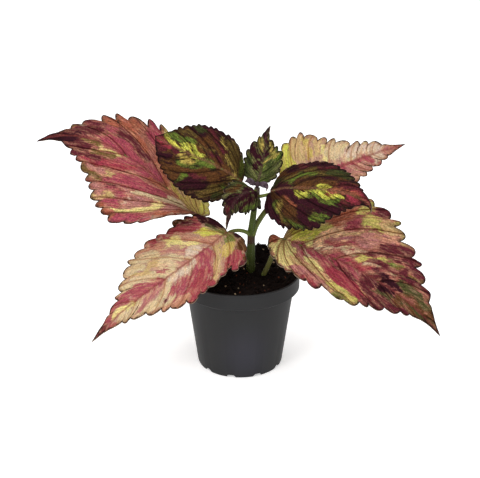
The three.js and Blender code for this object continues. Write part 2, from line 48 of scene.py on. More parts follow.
# Each leaf lies along its rib, a cubic Bezier curve from the top of the stalk to the tip. Pairs of
# values are (left, right) of the rib as seen from above the base, looking to the tip.
#   margins      points of each side's margin, laid flat and without teeth: along the rib, and out from it
#   half_width   how far out the curl and the waves are measured to
#   roll         degrees that the blade is turned about its rib, (base, tip)
#   fold, curl   degrees that each half slopes down at the rib, and slopes further at its margin
#   tooth_depth  of the scallops on each side's margin
#   ruffle       height of the margin's waves, and their phase at the leaf's foot in radians
#   relief       where given, how strong its veins and pillows are
#   lobe_curl    where given, how far the base's lobes turn up beside the stalk
#   stalk        the stalk's first two control points; the others follow from the rib
#   arch         how gently the stalk bends into the rib, as a share of its reach
#   fan          share of the margin whose side veins all rise from the rib's foot, and how the rest crowd to it
LEAVES = {
    "leaf_back_left": dict(
        rib=((-33.5, 23, 128.5), (-53, 33, 127.5), (-108, 54, 215), (-184, 73, 181)),
        half_width=(60, 60), roll=(24, -38), fold=(0, 0), curl=(42, -10),
        margins=(((8, 14.5), (13.5, 25), (20, 35.5), (28, 49), (40, 60), (58, 63.5), (76, 58), (92, 46.5),
                  (110, 33), (126, 22.5), (139, 13), (152, 5.5), (165, 2.5)),
                 ((3, 8), (5, 20), (8, 33), (11, 45), (15, 57), (22, 66), (34, 70.5), (48, 70), (62, 67.5),
                  (74, 63), (83, 56.5), (91, 49), (110, 34), (130, 18.5), (141, 11), (152, 5), (165, 2.5))),
        teeth=16, tooth_depth=(5.5, 8), ruffle=(2, 0), seed=1,
        fan=(0.6, 1.5),
        stalk=((9, 0, 93), (-1, 7, 110)), arch=0.08, stalk_radius=2.4),
    "leaf_front_left": dict(
        rib=((-11, -5, 124), (-50, -35, 100), (-84, -51, 89), (-121, -77, 57)),
        half_width=(43, 45), roll=(-8, -7), fold=(-3, -5), curl=(1, -13),
        margins=(((-3, 10), (-2, 20), (4, 29.5), (12, 38), (22, 42.5), (28, 35), (37, 38), (48, 41.5),
                  (60, 43), (70, 41), (80, 36), (92, 29), (104, 20), (118, 11), (132, 4.5)),
                 ((-2, 10), (-2, 20), (2, 30), (10, 38.5), (20, 42.5), (31, 40.5), (39, 37), (50, 42),
                  (62, 42.5), (74, 39), (86, 32.5), (97, 24.5), (106, 16.5), (118, 10), (132, 4.5))),
        teeth=14, tooth_depth=(5, 5), ruffle=(1.5, 1), seed=2, relief=0.7,
        fan=(0.35, 1.35),
        stalk=((10, 0, 118.5), (3, -2, 126.5)), arch=0.2, stalk_radius=1.8),
    "leaf_back_right": dict(
        rib=((39, 12, 154), (78, 31, 168), (114, 53, 175), (148, 64, 181)),
        half_width=(43, 38), roll=(45, 29), fold=(3, 20), curl=(5, 30),
        margins=(((3, 12), (8, 22), (14, 31), (22, 38.5), (33, 43), (45, 42), (54, 36), (63, 30),
                  (72, 24.5), (81, 17.5), (91, 14.5), (99, 12), (106, 6.5), (114, 2.5)),
                 ((2, 10), (6, 20), (14, 28), (26, 31), (38, 29), (50, 24), (60, 18.5), (70, 15.5),
                  (80, 13.5), (90, 10), (100, 7.5), (110, 4.5))),
        teeth=14, tooth_depth=(6, 4.5), ruffle=(1.5, 1), seed=5, relief=0.3,
        fan=(0.2, 1.35),
        stalk=((10, 0, 119), (17, 5, 136)), arch=0.2, stalk_radius=2.5),
    "leaf_front_right": dict(
        rib=((36, -12, 121), (86, -41, 114), (134, -60, 97), (162, -83, 65)),
        half_width=(57, 46), roll=(20, 28), fold=(-12, -12), curl=(-5, -5),
        margins=(((3.5, 5), (4.5, 14), (5, 27), (11, 40), (22, 50), (35, 56.5), (48, 60), (62, 60.5), (74, 57),
                  (84, 48.5), (92, 41.5), (102, 35), (111, 28.5), (120, 21), (130, 14), (140, 7.5), (150, 2.5)),
                 ((-5, 2), (-7.5, 8), (-4.5, 17), (4, 26.5), (14, 34), (26, 41), (40, 44.5), (51, 43.5), (57, 38.5),
                  (65, 39), (74, 43), (82, 42.5), (90, 36), (99, 30), (107, 24), (116, 17.5), (125, 11.5),
                  (135, 5.5), (146, 2))),
        lobe_curl=(0, 9), teeth=14, tooth_depth=(7, 5), ruffle=(2, 2), seed=6,
        fan=(0.5, 1.4),
        stalk=((16, -6, 76), (28, -9, 98)), arch=0.12, stalk_radius=2.3),
    "leaf_dark_left": dict(
        rib=((2, 7, 165), (-24, 6, 186), (-45, 10, 187), (-74, 40, 196)),
        half_width=(32, 32), roll=(-48, -40), fold=(3, -5), curl=(27, 16),
        margins=(((3, 9), (6, 18), (12, 26), (22, 31), (34, 32.5), (46, 30.5), (57, 27), (66, 22.5), (74, 17),
                  (81, 11), (87, 5)),
                 ((3, 8), (8, 16), (15, 23.5), (25, 29.5), (36, 31), (48, 30), (60, 27.5), (69, 23), (76, 16.5),
                  (82, 9.5), (88, 3.5))),
        teeth=16, tooth_depth=(3, 3), ruffle=(1, 2), seed=3,
        fan=(0.6, 1.5),
        stalk=((13.7, 0, 156), (8, 3, 160)), arch=0.2, stalk_radius=1.6),
    "leaf_dark_right": dict(
        rib=((25, -7, 161), (36, -18, 174), (112, -42, 175), (104, -49, 159)),
        half_width=(33, 36), roll=(34, 38), fold=(-3, 3), curl=(28, 40),
        margins=(((2, 9), (5, 18), (11, 25.5), (20, 30), (31, 32), (43, 31.5), (53, 28), (61, 23), (69, 16.5),
                  (76, 10.5), (84, 5), (91, 2)),
                 ((-3, 5), (-4, 13), (0, 21.5), (7, 27.5), (16, 32), (27, 34.5), (39, 34), (50, 31.5), (58, 26),
                  (65, 20.5), (73, 14.5), (80, 9), (88, 3.5))),
        teeth=16, tooth_depth=(3, 3.5), ruffle=(1, 0), seed=4,
        fan=(0.6, 1.5),
        stalk=((13.7, 0, 154), (20, -3, 156)), arch=0.2, stalk_radius=1.6),
    "leaf_small_front": dict(
        rib=((12, -5, 162), (9, -12, 163), (-9, -22, 168), (-10, -39, 140)),
        half_width=(15, 14), roll=(-34, -60), fold=(18, 9), curl=(22, 14),
        margins=(((-2, 6), (-2, 12), (3, 15.5), (12, 15.5), (21, 16), (28, 11.5), (33, 6), (38, 3), (44, 2)),
                 ((-1, 7), (4, 13), (13, 15), (22, 12), (29, 9), (35, 6.5), (40, 2.5), (46, 1.5))),
        teeth=9, tooth_depth=(3.4, 3.4), ruffle=(0, 0), seed=7,
        fan=(0.4, 1.4),
        stalk=((14.3, 0, 159), (13.5, -2.5, 161)), arch=0.2, stalk_radius=1),
    "leaf_small_top": dict(
        rib=((15, 5, 166), (22, 24, 180), (20, 24, 193), (25, 27, 209)),
        half_width=(16, 15), roll=(8, 6), fold=(-4, -3), curl=(23, 17),
        margins=(((0, 6), (4, 12), (13, 16), (22, 15.5), (29, 14.5), (34, 10.5), (39, 6.5), (45, 3)),
                 ((0, 5), (3, 10), (10, 13), (19, 15.5), (28, 14.5), (33, 10.5), (37, 6), (42, 2.5), (47, 1))),
        teeth=8, tooth_depth=(3.6, 3.6), ruffle=(0, 0), seed=8,
        fan=(0.4, 1.4),
        stalk=((14.5, 0.5, 160.5), (14.6, 2.5, 163)), arch=0.2, stalk_radius=1),
}

LEAFLETS = (  # (rib, roll)
    (((13, -0.5, 165), (10, -1, 169), (7, -1.5, 170), (4, -2, 168)), -55),
    (((16, -0.5, 164.5), (19, -1.5, 168), (24, -2.5, 165), (21.5, -3.5, 160.5)), 55),
)
LEAFLET = dict(
    half_width=(3, 3), fold=(10, 10), curl=(30, 30),
    margins=(((2, 2.2), (4.5, 3.0), (7.5, 2.2)), ((2, 2.2), (4.5, 3.0), (7.5, 2.2))),
    teeth=0, tooth_depth=(0, 0), ruffle=(0, 0), seed=0, relief=0.2, fan=(0.3, 1.35))
BUD = dict(centre=(14.7, 0, 165.2), radii=(2.2, 1.9, 2.6))

WAVES = 3  # waves of the ruffle along each margin
TOOTHED = (0.08, 0.92)  # part of the margin that bears teeth
TOOTH_FADE = 0.17  # share of that part, at each end, over which they grow
BLUNTNESS = 0.6  # power of the sine that rounds a tooth
NOTCH_DEPTH = 0.55  # share of a tooth's depth that its notch cuts into the smooth margin
LEAN = 0.35  # how far a tooth points forward, as a share of its depth
BLEND = 0.8  # share of the way out at which the teeth begin to shape the blade
FAN_FOOT = 0.04  # share of the rib that its foot's side veins rise from
BOW = 0.08  # how far the side veins arch, as a share of their length
# how much the teeth differ in width and depth, and the radians that keep teeth, seeds and halves apart
UNEVEN = dict(width=0.2, width_rate=2.1, depth=0.28, depth_rate=2.4, seed_rate=1.7, side=2.3)
CURL_LIMIT, RUFFLE_LIMIT = 1.4, 1.3  # half widths out, past which the curl and the ruffle grow no more
WAVES_START = -0.2  # where the waves begin, behind the rib's foot, as a share of the rib
WAVE_LAG = 2  # radians between the waves of the two margins
# share of the rib behind its foot over which the lobes' curl comes in, and half widths out between which it fades
LOBE = dict(behind=0.08, near=0.1, far=0.6)

BLADE_THICKNESS = 0.8
RIB_REACH = 0.62  # how far the raised rib runs under the blade


def smoothstep(low, high, value):
    share = np.clip((value - low) / (high - low), 0, 1)
    return share * share * (3 - 2 * share)


def lerp(a, b, share):
    return a + (b - a) * share


def unit(vectors):
    return vectors / np.maximum(np.linalg.norm(vectors, axis=-1, keepdims=True), 1e-9)


def bezier(points, t):
    """Places on a cubic Bezier curve, and its directions there."""
    a, b, c, d = np.asarray(points, float)
    t = np.asarray(t, float)[..., None]
    u = 1 - t
    place = u ** 3 * a + 3 * u * u * t * b + 3 * u * t * t * c + t ** 3 * d
    return place, unit(u * u * (b - a) + 2 * u * t * (c - b) + t * t * (d - c))


def turned(vectors, axis, angle):
    """Vectors turned about a unit axis, each by its own angle in radians."""
    cos, sin = np.cos(angle)[..., None], np.sin(angle)[..., None]
    along = np.sum(vectors * axis, axis=-1, keepdims=True) * axis
    return vectors * cos + np.cross(axis, vectors) * sin + along * (1 - cos)


def spline(points, t):
    """A centripetal Catmull-Rom curve through points: its places and directions at parameters."""
    ends = np.vstack([2 * points[0] - points[1], points, 2 * points[-1] - points[-2]])
    piece = np.clip(np.asarray(t) * (len(points) - 1), 0, len(points) - 1)
    index = np.minimum(np.floor(piece).astype(int), len(points) - 2)
    w = (piece - index)[..., None]
    p0, p1, p2, p3 = (ends[index + k] for k in range(4))
    d0, d1, d2 = (np.linalg.norm(b - a, axis=-1, keepdims=True) ** 0.5
                  for a, b in ((p0, p1), (p1, p2), (p2, p3)))
    t1 = ((p1 - p0) / d0 - (p2 - p0) / (d0 + d1) + (p2 - p1) / d1) * d1
    t2 = ((p2 - p1) / d1 - (p3 - p1) / (d1 + d2) + (p3 - p2) / d2) * d1
    c2, c3 = -3 * p1 + 3 * p2 - 2 * t1 - t2, 2 * p1 - 2 * p2 + t1 + t2
    return p1 + t1 * w + c2 * w ** 2 + c3 * w ** 3, unit(t1 + 2 * c2 * w + 3 * c3 * w ** 2)


CURVE_STEPS = 400


def evenly(points, t_to_place):
    """Curve parameters and the curve's length up to each."""
    steps = np.linspace(0, 1, CURVE_STEPS + 1)
    run = t_to_place(points, steps)[0]
    return steps, np.concatenate([[0], np.cumsum(np.linalg.norm(np.diff(run, axis=0), axis=1))])


class Leaf:
    """A leaf's surface: its rib, its outline laid flat, and its points in space."""

    def __init__(self, spec):
        self.spec = spec
        self.steps, self.lengths = evenly(spec["rib"], bezier)
        self.length = self.lengths[-1]

    def outline(self, side, share):
        """Points of the smooth margin and its direction, at shares of its length."""
        points = np.array(((0, 0), *self.spec["margins"][side], (self.length, 0)), float)
        steps, lengths = evenly(points, spline)
        return spline(points, np.interp(share * lengths[-1], lengths, steps))

    def teeth(self, side, nominal):
        """For rows of the blade: the share of the margin's length, and the tooth with the step on it."""
        count = self.spec["teeth"]
        if not count:
            return nominal, 0 * nominal, 0 * nominal
        start, end = TOOTHED
        run = np.clip((nominal - start) / (end - start), 0, 1) * count
        tooth = np.minimum(np.floor(run), count - 1)

        def notch(k):
            inside = (k > 0) & (k < count)
            phase = UNEVEN["width_rate"] * k + self.spec["seed"] + UNEVEN["side"] * side
            return (k + inside * UNEVEN["width"] * np.sin(phase)) / count

        along = lerp(notch(tooth), notch(tooth + 1), run - tooth)
        plain = (nominal < start) | (nominal > end)
        return np.where(plain, nominal, lerp(start, end, along)), tooth, run - tooth

    def flat(self, side, nominal, out):
        """Places on the blade laid flat, for rows and shares of the way from the rib to the margin."""
        spec = self.spec
        t, tooth, step = self.teeth(side, nominal)
        margin, ahead = self.outline(side, t)
        along = (t - TOOTHED[0]) / (TOOTHED[1] - TOOTHED[0])
        grown = smoothstep(0, TOOTH_FADE, along) * (1 - smoothstep(1 - TOOTH_FADE, 1, along))
        phase = UNEVEN["depth_rate"] * tooth + UNEVEN["seed_rate"] * (spec["seed"] + UNEVEN["side"] * side)
        depth = spec["tooth_depth"][side] * grown
        size = depth * (1 + UNEVEN["depth"] * np.sin(phase))
        rounded = np.abs(np.sin(np.pi * step)) ** BLUNTNESS
        outward = np.stack([-ahead[..., 1], ahead[..., 0]], axis=-1)
        offset = outward * (size * (rounded - NOTCH_DEPTH))[..., None] + ahead * (depth * LEAN * rounded)[..., None]
        start, power = spec["fan"]
        root = self.length * lerp(np.clip((nominal - start) / (1 - start), 0, 1) ** power, nominal, FAN_FOOT)
        rooted = np.stack([root, np.zeros_like(root)], axis=-1)
        out = out[..., None]
        vein = margin - rooted
        arch = np.stack([-vein[..., 1], vein[..., 0]], axis=-1) * BOW * 4 * out * (1 - out)
        return lerp(rooted, margin, out) + arch + offset * smoothstep(BLEND, 1, out)

    def point(self, x, s, side, lift=0.0):
        """A point of the blade: x along the rib, s out from it, and lift above its middle surface."""
        spec = self.spec
        share = np.clip(x / self.length, 0, 1)
        t = np.interp(share * self.length, self.lengths, self.steps)
        place, ahead = bezier(spec["rib"], t)
        left = unit(np.cross(np.array((0, 0, 1.0)), ahead))
        roll = np.radians(lerp(*spec["roll"], smoothstep(0, 1, t)))
        up = turned(np.cross(ahead, left), ahead, roll)
        left = turned(left, ahead, roll)
        out = s / spec["half_width"][side]
        slope = np.radians(spec["fold"][side] + spec["curl"][side] * np.minimum(out, CURL_LIMIT) / 2)
        wave = (2 * np.pi * WAVES * np.clip(x / self.length, WAVES_START, 1) + spec["ruffle"][1]
                + WAVE_LAG * side)
        ruffle = spec["ruffle"][0] * np.minimum(out, RUFFLE_LIMIT) ** 2 * np.sin(wave)
        behind = smoothstep(0, LOBE["behind"], -x / self.length) * (1 - smoothstep(LOBE["near"], LOBE["far"], out))
        lobes = spec.get("lobe_curl", (0, 0))[side] * behind
        hand = -1 if side else 1
        return (place + ahead * np.minimum(x, 0)[..., None] + left * (hand * s * np.cos(slope))[..., None]
                + up * (ruffle + lobes + lift - s * np.sin(slope))[..., None])


# ---------------------------------------------------------------- meshes


def deselect():
    bpy.ops.object.select_all(action="DESELECT")


def choose(piece):
    """Makes a piece the only one selected, and active."""
    deselect()
    piece.select_set(True)
    bpy.context.view_layer.objects.active = piece


def edit_all(piece, *steps):
    """Runs edit-mode operators on all of a piece's mesh."""
    choose(piece)
    bpy.ops.object.mode_set(mode="EDIT")
    bpy.ops.mesh.select_all(action="SELECT")
    for step in steps:
        step()
    bpy.ops.object.mode_set(mode="OBJECT")


def apply(piece, kind, **settings):
    """Adds a modifier with its settings and applies it."""
    choose(piece)
    modifier = piece.modifiers.new(kind.lower(), kind)
    for key, value in settings.items():
        setattr(modifier, key, value)
    bpy.ops.object.modifier_apply(modifier=modifier.name)


def join(piece, *others):
    """Joins pieces into the first."""
    deselect()
    for other in others:
        other.select_set(True)
    piece.select_set(True)
    bpy.context.view_layer.objects.active = piece
    bpy.ops.object.join()
    return piece


WELD = 1e-6  # metres within which vertices are merged


def sheet(name, places):
    """A grid of quads with its vertices at places: rows x columns x 3, in millimetres."""
    rows, columns = places.shape[:2]
    deselect()
    bpy.ops.mesh.primitive_grid_add(x_subdivisions=columns - 1, y_subdivisions=rows - 1, size=1)
    piece = bpy.context.object
    piece.name = piece.data.name = name
    piece.data.vertices.foreach_set("co", (places * MM).ravel())
    return piece


def field(piece, name, values):
    """Stores a value at each vertex, for the materials."""
    attribute = piece.data.attributes.new(name, "FLOAT", "POINT")
    attribute.data.foreach_set("value", np.ascontiguousarray(values, dtype=np.float32).ravel())


def uv_map(piece, name, u, v):
    """A UV map from a value pair at each corner of each face of a sheet."""
    layer = piece.data.uv_layers.new(name=name)
    layer.data.foreach_set("uv", np.stack([u, v], axis=-1).astype(np.float32).ravel())


def tube(name, path, radius, sides, squareness=None):
    """A closed tube along a smooth path: radius gives each station's, in millimetres."""
    path = np.asarray(path, float)
    ahead = unit(np.gradient(path, axis=0))
    side = unit(np.cross(ahead, (0.0, 1.0, 0.0)))
    other = np.cross(side, ahead)
    angles = np.linspace(0, 2 * np.pi, sides + 1)
    outline = np.ones(sides + 1) if squareness is None else 1 + squareness * np.cos(4 * angles)
    reach = np.asarray(radius)[:, None] * outline
    rings = (path[:, None] + side[:, None] * (reach * np.cos(angles))[..., None]
             + other[:, None] * (reach * np.sin(angles))[..., None])
    ends = [np.repeat(end[None, None], sides + 1, axis=1) for end in (path[0], path[-1])]
    piece = sheet(name, np.concatenate([ends[0], rings, ends[1]]))
    edit_all(piece, lambda: bpy.ops.mesh.remove_doubles(threshold=WELD),
             lambda: bpy.ops.mesh.normals_make_consistent(inside=False))
    return piece


def smooth(piece, degrees=40):
    """Shades a piece smooth, except over edges sharper than the angle."""
    choose(piece)
    bpy.ops.object.shade_smooth_by_angle(angle=math.radians(degrees))


def finish(piece, slot, *nodes):
    """The finished piece stands for its CAD nodes: it joins the root body, and they are hidden. The slot is not used.
    """
    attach(piece, "root")
    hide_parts(*nodes)


def lumps(places, size):
    """Smooth noise between -1 and 1 at places, with bumps about that size across, in millimetres."""
    flat = np.asarray(places, float).reshape(-1, 3) / size
    return np.array([noise.noise(Vector(p)) for p in flat]).reshape(np.asarray(places).shape[:-1]) * 2


# ---------------------------------------------------------------- materials

PIGMENTS = {
    "lime": "cbca52",
    "pear": "beb65f",
    "green": "60752b",
    "moss": "38401d",
    "olive": "635226",
    "ochre": "b8a350",
    "cream": "c6b28b",
    "lilac": "c8b49d",
    "yellow": "d9cd82",
    "tan": "ba9f6a",
    "salmon": "b17a64",
    # painted light: this peach is paler than the leaf's own colour, to lift the shade that the dark leaf above casts
    # where it lies
    "painted_light_peach": "f6c898",
    "rose": "a46664",
    "orchid": "a97068",
    "raspberry": "963e4d",
    "crimson": "8f313f",
    "rust": "9d5740",
    "umber": "53341a",
    "wine": "572028",
    "plum": "311019",
}
COVER = 0.94  # the most that a pigment hides of what lies under it
COVERING = {"umber": 1.0, "wine": 1.0, "plum": 1.0}  # but these dark ones hide all of it
# how far these stay free of the marbling
PURE = {"moss": 0.4, "raspberry": 0.35, "crimson": 0.55, "umber": 0.7, "wine": 0.4, "plum": 1.0}
MIX_A, MIX_B = 6, 7  # a colour Mix node's inputs


def linear(colour):
    """A colour from its sRGB hex value, as the shaders want it."""
    channels = [int(colour[i:i + 2], 16) / 255 for i in (0, 2, 4)]
    return (*(c / 12.92 if c <= 0.04045 else ((c + 0.055) / 1.055) ** 2.4 for c in channels), 1.0)


def node(tree, kind, links=None, **settings):
    """Adds a node with its settings; links gives its inputs: a socket, a node for its live output, or a value."""
    added = tree.nodes.new("ShaderNode" + kind)
    for key, value in settings.items():
        setattr(added, key, value)
    for key, source in (links or {}).items():
        if isinstance(source, bpy.types.Node):
            source = next(output for output in source.outputs if output.enabled)
        if isinstance(source, bpy.types.NodeSocket):
            tree.links.new(source, added.inputs[key])
        else:
            added.inputs[key].default_value = source
    return added


def new_material(name):
    """An empty node material, and its tree."""
    made = bpy.data.materials.new(name)
    made.use_nodes = True
    made.node_tree.nodes.clear()
    return made, made.node_tree


# Noise over a leaf, as (map, its cycles along each axis, shift, octaves). The veins' map counts teeth
# across the side veins and centimetres along them; the flat map is in decimetres.
LEAF_PATTERNS = {
    "flames": ("veins", (1.7, 0.45), 0.0, 4.0),  # blotches about 5 mm wide and 20 mm long
    "streaks": ("veins", (5.0, 1.1), 5.0, 4.0),  # 1.5 mm wide
    "drift": ("veins", (3.2, 0.8), 31.0, 5.0),
    "fibres": ("veins", (8.0, 3.2), 17.0, 3.0),  # 1 mm wide, 3 mm long
    "mottle": ("flat", (32.0, 32.0), 0.0, 4.0),  # 3 mm
    "freckles": ("flat", (75.0, 75.0), 8.0, 3.0),  # 1.3 mm
}
FRAY = 1.7  # how strongly the noise frays the patches' edges
FRAYED = ("flames", 0.6), ("streaks", 1.2), ("mottle", 0.6)
FRAY_MIDDLE = FRAY * 0.5 * sum(weight for _, weight in FRAYED) + 0.5
FRAY_START, FRAY_FULL = FRAY_MIDDLE - 0.45, FRAY_MIDDLE + 0.2  # where a patch sets in, and where it is whole
NET_CELLS = 42.0  # cells of the net of smallest veins to a decimetre, so 2.4 mm each
HUE_DRIFT, HUE_LEAST = 0.45, 0.78  # how far each colour channel drifts along the veins, and its least share
UNDERSIDE = "a08a74"  # the pale down that dulls the blade's underside


def leaf_material(name, ground, pale, deep, marbling, vein, painted_groove_shade, rib, teeth, rim, contrast, under=0.0):
    """Living coleus leaf: a matt skin over sunk veins, its pigments in frayed flames along them."""
    made, tree = new_material(name)
    maps = {key: node(tree, "UVMap", uv_map=key) for key in ("veins", "flat")}
    noises = {}
    for key, (source, scale, shift, octaves) in LEAF_PATTERNS.items():
        place = node(tree, "Mapping", {"Vector": maps[source], "Location": (shift,) * 3, "Scale": (*scale, 1.0)})
        noises[key] = node(tree, "TexNoise", {"Vector": place, "Scale": 1.0, "Detail": octaves, "Roughness": 0.62},
                           noise_dimensions="2D")
    ragged = (0.0, 0.0, 0.0)
    for key, weight in FRAYED:
        ragged = node(tree, "VectorMath", {0: noises[key].outputs["Color"], 1: (weight,) * 3, 2: ragged},
                      operation="MULTIPLY_ADD")
    ragged = node(tree, "SeparateXYZ", {0: ragged})

    drifts = node(tree, "SeparateColor", {0: noises["drift"].outputs["Color"]})
    colour, bare = linear(ground), 1.0
    for index, (pigment, shade) in enumerate(PIGMENTS.items()):
        patch = node(tree, "Attribute", attribute_name=pigment).outputs["Fac"]
        amount = node(tree, "Math", {0: ragged.outputs[index % 3], 1: FRAY, 2: patch}, operation="MULTIPLY_ADD")
        mask = node(tree, "MapRange", {"Value": amount, "From Min": FRAY_START, "From Max": FRAY_FULL,
                                      "To Max": COVERING.get(pigment, COVER)},
                    interpolation_type="SMOOTHSTEP")
        colour = node(tree, "Mix", {0: mask, MIX_A: colour, MIX_B: linear(shade)}, data_type="RGBA")
        if pigment in PURE:
            left = node(tree, "Math", {0: mask, 1: -PURE[pigment], 2: 1.0}, operation="MULTIPLY_ADD")
            bare = node(tree, "Math", {0: bare, 1: left}, operation="MULTIPLY")
    lighter, darker = (node(tree, "Math", {0: bare, 1: amount}, operation="MULTIPLY") for amount in marbling)

    # side veins: a main one to every second tooth, a lesser one to the teeth between them, and a fine net
    across = node(tree, "SeparateXYZ", {0: maps["veins"]})
    centred = node(tree, "Math", {0: across, 1: 0.5}, operation="SUBTRACT")
    pitch = node(tree, "Attribute", attribute_name="pitch").outputs["Fac"]
    main, lesser = (node(tree, "Math", {0: node(tree, "Math", {0: centred, 1: period}, operation="PINGPONG"),
                                        1: pitch}, operation="MULTIPLY") for period in (1.0, 0.5))
    beside = node(tree, "SeparateXYZ", {0: maps["flat"]})
    middle = node(tree, "Math", {0: beside.outputs[1]}, operation="ABSOLUTE")
    cells = node(tree, "Mapping", {"Vector": maps["flat"], "Scale": (NET_CELLS, NET_CELLS, 1.0)})
    net = node(tree, "TexVoronoi", {"Vector": cells, "Scale": 1.0}, feature="DISTANCE_TO_EDGE",
               voronoi_dimensions="2D")
    edge = node(tree, "Attribute", attribute_name="edge").outputs["Fac"]
    near = node(tree, "Math", {0: noises["mottle"], 1: 5.0, 2: edge}, operation="MULTIPLY_ADD")

    # Over the patches: paler and deeper flames, painted shade in the grooves beside the main side veins and along the
    # net of finest veins, the side veins, the rib, the teeth and the rim.
    # Each has the value where it is absent and the one where it is full: in millimetres for the side veins,
    # the teeth and the rim, in decimetres for the rib, and in cells for the net.
    for value, none, full, most, shade, mode in (
            (drifts.outputs[0], 0.46, 0.68, lighter, pale, "MIX"),
            (drifts.outputs[1], 0.46, 0.68, darker, deep, "MIX"),
            # painted shade: the grooves beside the main side veins, and the sunk net of finest veins, are darkened by
            # multiplying
            (main, 3.0, 0.4, 0.3, painted_groove_shade, "MULTIPLY"),
            (net, 0.12, 0.02, 0.4, painted_groove_shade, "MULTIPLY"),
            (lesser, 0.8, 0.3, 0.3, vein, "MULTIPLY"),
            (main, 1.1, 0.4, 0.7, vein, "MULTIPLY"),
            (middle, 0.02, 0.005, 0.6, rib, "MIX"),
            (near, 7.5, 3.7, 0.5, teeth, "DARKEN"),
            (near, 4.3, 2.9, 0.9, rim, "DARKEN")):
        mask = node(tree, "MapRange", {"Value": value, "From Min": none, "From Max": full, "To Max": most},
                    interpolation_type="SMOOTHSTEP")
        colour = node(tree, "Mix", {0: mask, MIX_A: colour, MIX_B: linear(shade)}, data_type="RGBA",
                      blend_type=mode)

    # fine tone, and hues that drift along the veins
    tone = node(tree, "Math", {0: noises["fibres"], 1: contrast, 2: 1 - contrast}, operation="MULTIPLY_ADD")
    tone = node(tree, "Math", {0: noises["freckles"], 1: contrast, 2: tone}, operation="MULTIPLY_ADD")
    hues = node(tree, "VectorMath", {0: noises["drift"].outputs["Color"], 1: (HUE_DRIFT,) * 3,
                                      2: (HUE_LEAST,) * 3}, operation="MULTIPLY_ADD")
    hues = node(tree, "VectorMath", {0: hues.outputs[0], "Scale": tone}, operation="SCALE")
    colour = node(tree, "Mix", {0: 1.0, MIX_A: colour, MIX_B: hues.outputs[0]}, data_type="RGBA",
                  blend_type="MULTIPLY")
    if under:
        colour = node(tree, "Mix", {0: under, MIX_A: colour, MIX_B: linear(UNDERSIDE)}, data_type="RGBA")

    # the skin's relief: the net of the smallest veins, sunk, and its grain
    sunk = node(tree, "MapRange", {"Value": net, "From Max": 0.25, "To Max": 0.5}, interpolation_type="SMOOTHSTEP")
    relief = node(tree, "Math", {0: noises["fibres"], 1: 0.8, 2: sunk}, operation="MULTIPLY_ADD")
    relief = node(tree, "Math", {0: noises["freckles"], 1: 0.6, 2: relief}, operation="MULTIPLY_ADD")
    rough = node(tree, "MapRange", {"Value": noises["freckles"], "To Min": 0.45, "To Max": 0.75})
    shader = node(tree, "BsdfPrincipled", {
        "Base Color": colour, "Roughness": rough, "IOR": 1.42, "Specular IOR Level": 0.06,
        "Subsurface Weight": 0.04, "Subsurface Radius": (0.002, 0.0012, 0.0006), "Subsurface Scale": 0.5,
        "Normal": node(tree, "Bump", {"Strength": 0.6, "Distance": 0.0008, "Height": relief}),
    })
    node(tree, "OutputMaterial", {"Surface": shader})
    return made


# In each finish, the colour given after the vein's is painted shade: it is multiplied into the grooves beside the
# main side veins and along the net of finest veins.
LEAF_FINISHES = {
    "leaf_rose": dict(ground="94584c", pale="c8a682", deep="5a2027", marbling=(0.38, 0.45), vein="9c6a62",
                      painted_groove_shade="cbb4ae", rib="6f3430", teeth="54402a", rim="1c1211", contrast=1.6),
    "leaf_cream": dict(ground="ab8571", pale="d2c292", deep="a05a54", marbling=(0.35, 0.3), vein="e2ccc2",
                       painted_groove_shade="d8c8be", rib="7c3f38", teeth="8a6040", rim="24120f", contrast=1.0),
    "leaf_dark": dict(ground="2c1415", pale="584524", deep="200a10", marbling=(0.5, 0.7), vein="9c8c80",
                      painted_groove_shade="b4a8a4", rib="6d4a36", teeth="241213", rim="120a0a", contrast=2.0),
    "leaf_young": dict(ground="66653c", pale="5c7034", deep="24141a", marbling=(0.5, 0.6), vein="a0a090",
                       painted_groove_shade="b4b4a8", rib="4a3230", teeth="241a1a", rim="140d0e", contrast=2.0),
    "leaf_bud": dict(ground="75666f", pale="a89aa2", deep="2a1d24", marbling=(0.5, 0.5), vein="a09498",
                     painted_groove_shade="b4a8a4", rib="3a2a30", teeth="7a6a72", rim="b8acb2", contrast=0.9),
}

# ---------------------------------------------------------------- the leaves

# Rows of the blade over each tooth, closest at its notch and at the vein in its middle.
TOOTH_STEPS = np.array((0, 0.02, 0.06, 0.12, 0.2, 0.29, 0.37, 0.43, 0.47, 0.5, 0.53, 0.57, 0.63, 0.71, 0.8,
                        0.88, 0.94, 0.98))
PLAIN_STEPS = 9  # rows before the first tooth and after the last
# Columns from the rib to the margin, closest where the teeth begin.
OUTS = np.array((0, 0.03, 0.08, 0.14, 0.2, 0.27, 0.34, 0.41, 0.48, 0.55, 0.61, 0.67, 0.73, 0.78, 0.82, 0.86,
                 0.89, 0.92, 0.945, 0.965, 0.985, 1))

# The blade's relief in millimetres: how deep the side veins and the rib are sunk, how high the
# pillows between them and the lumps stand, how wide each is, and how far the margin is rounded down.
RELIEF = dict(vein=0.45, vein_width=1.2, lesser=0.35, lesser_width=0.9, pillow=0.45, pillow_width=4.0,
              rib=0.7, rib_width=1.6, lumps=0.35, lump_size=7.0, edge=0.45, edge_width=2.5,
              margin=6, crowded=1.0, roomy=5.0)  # it fades out in the margin, and where veins crowd
LESSER_FROM, LESSER_FULL = 0.35, 0.6  # shares of the way out over which the lesser veins come in
FINE_LUMPS = dict(share=0.5, finer=2.6)  # the second octave of the lumps
LEAST_TEETH = 6  # that a leaf with fewer counts for its side veins
SEEDS_APART = 31.0  # millimetres between the noise of one seed and that of the next
HALVES_APART = 100.0  # teeth between the patterns of the two halves
TO_CENTIMETRES, TO_DECIMETRES = 10, 100  # from millimetres
FEATHER = 5.0  # millimetres over which a patch of pigment frays at its edge
CORE = 2.0  # the most that a patch's cover comes to, and the least, away from every patch
ABSENT = -0.6
# how far and how often the patches' edges wander, and the shift between the noises that do it
WARP = dict(reach=2.5, size=14.0, apart=50.0)

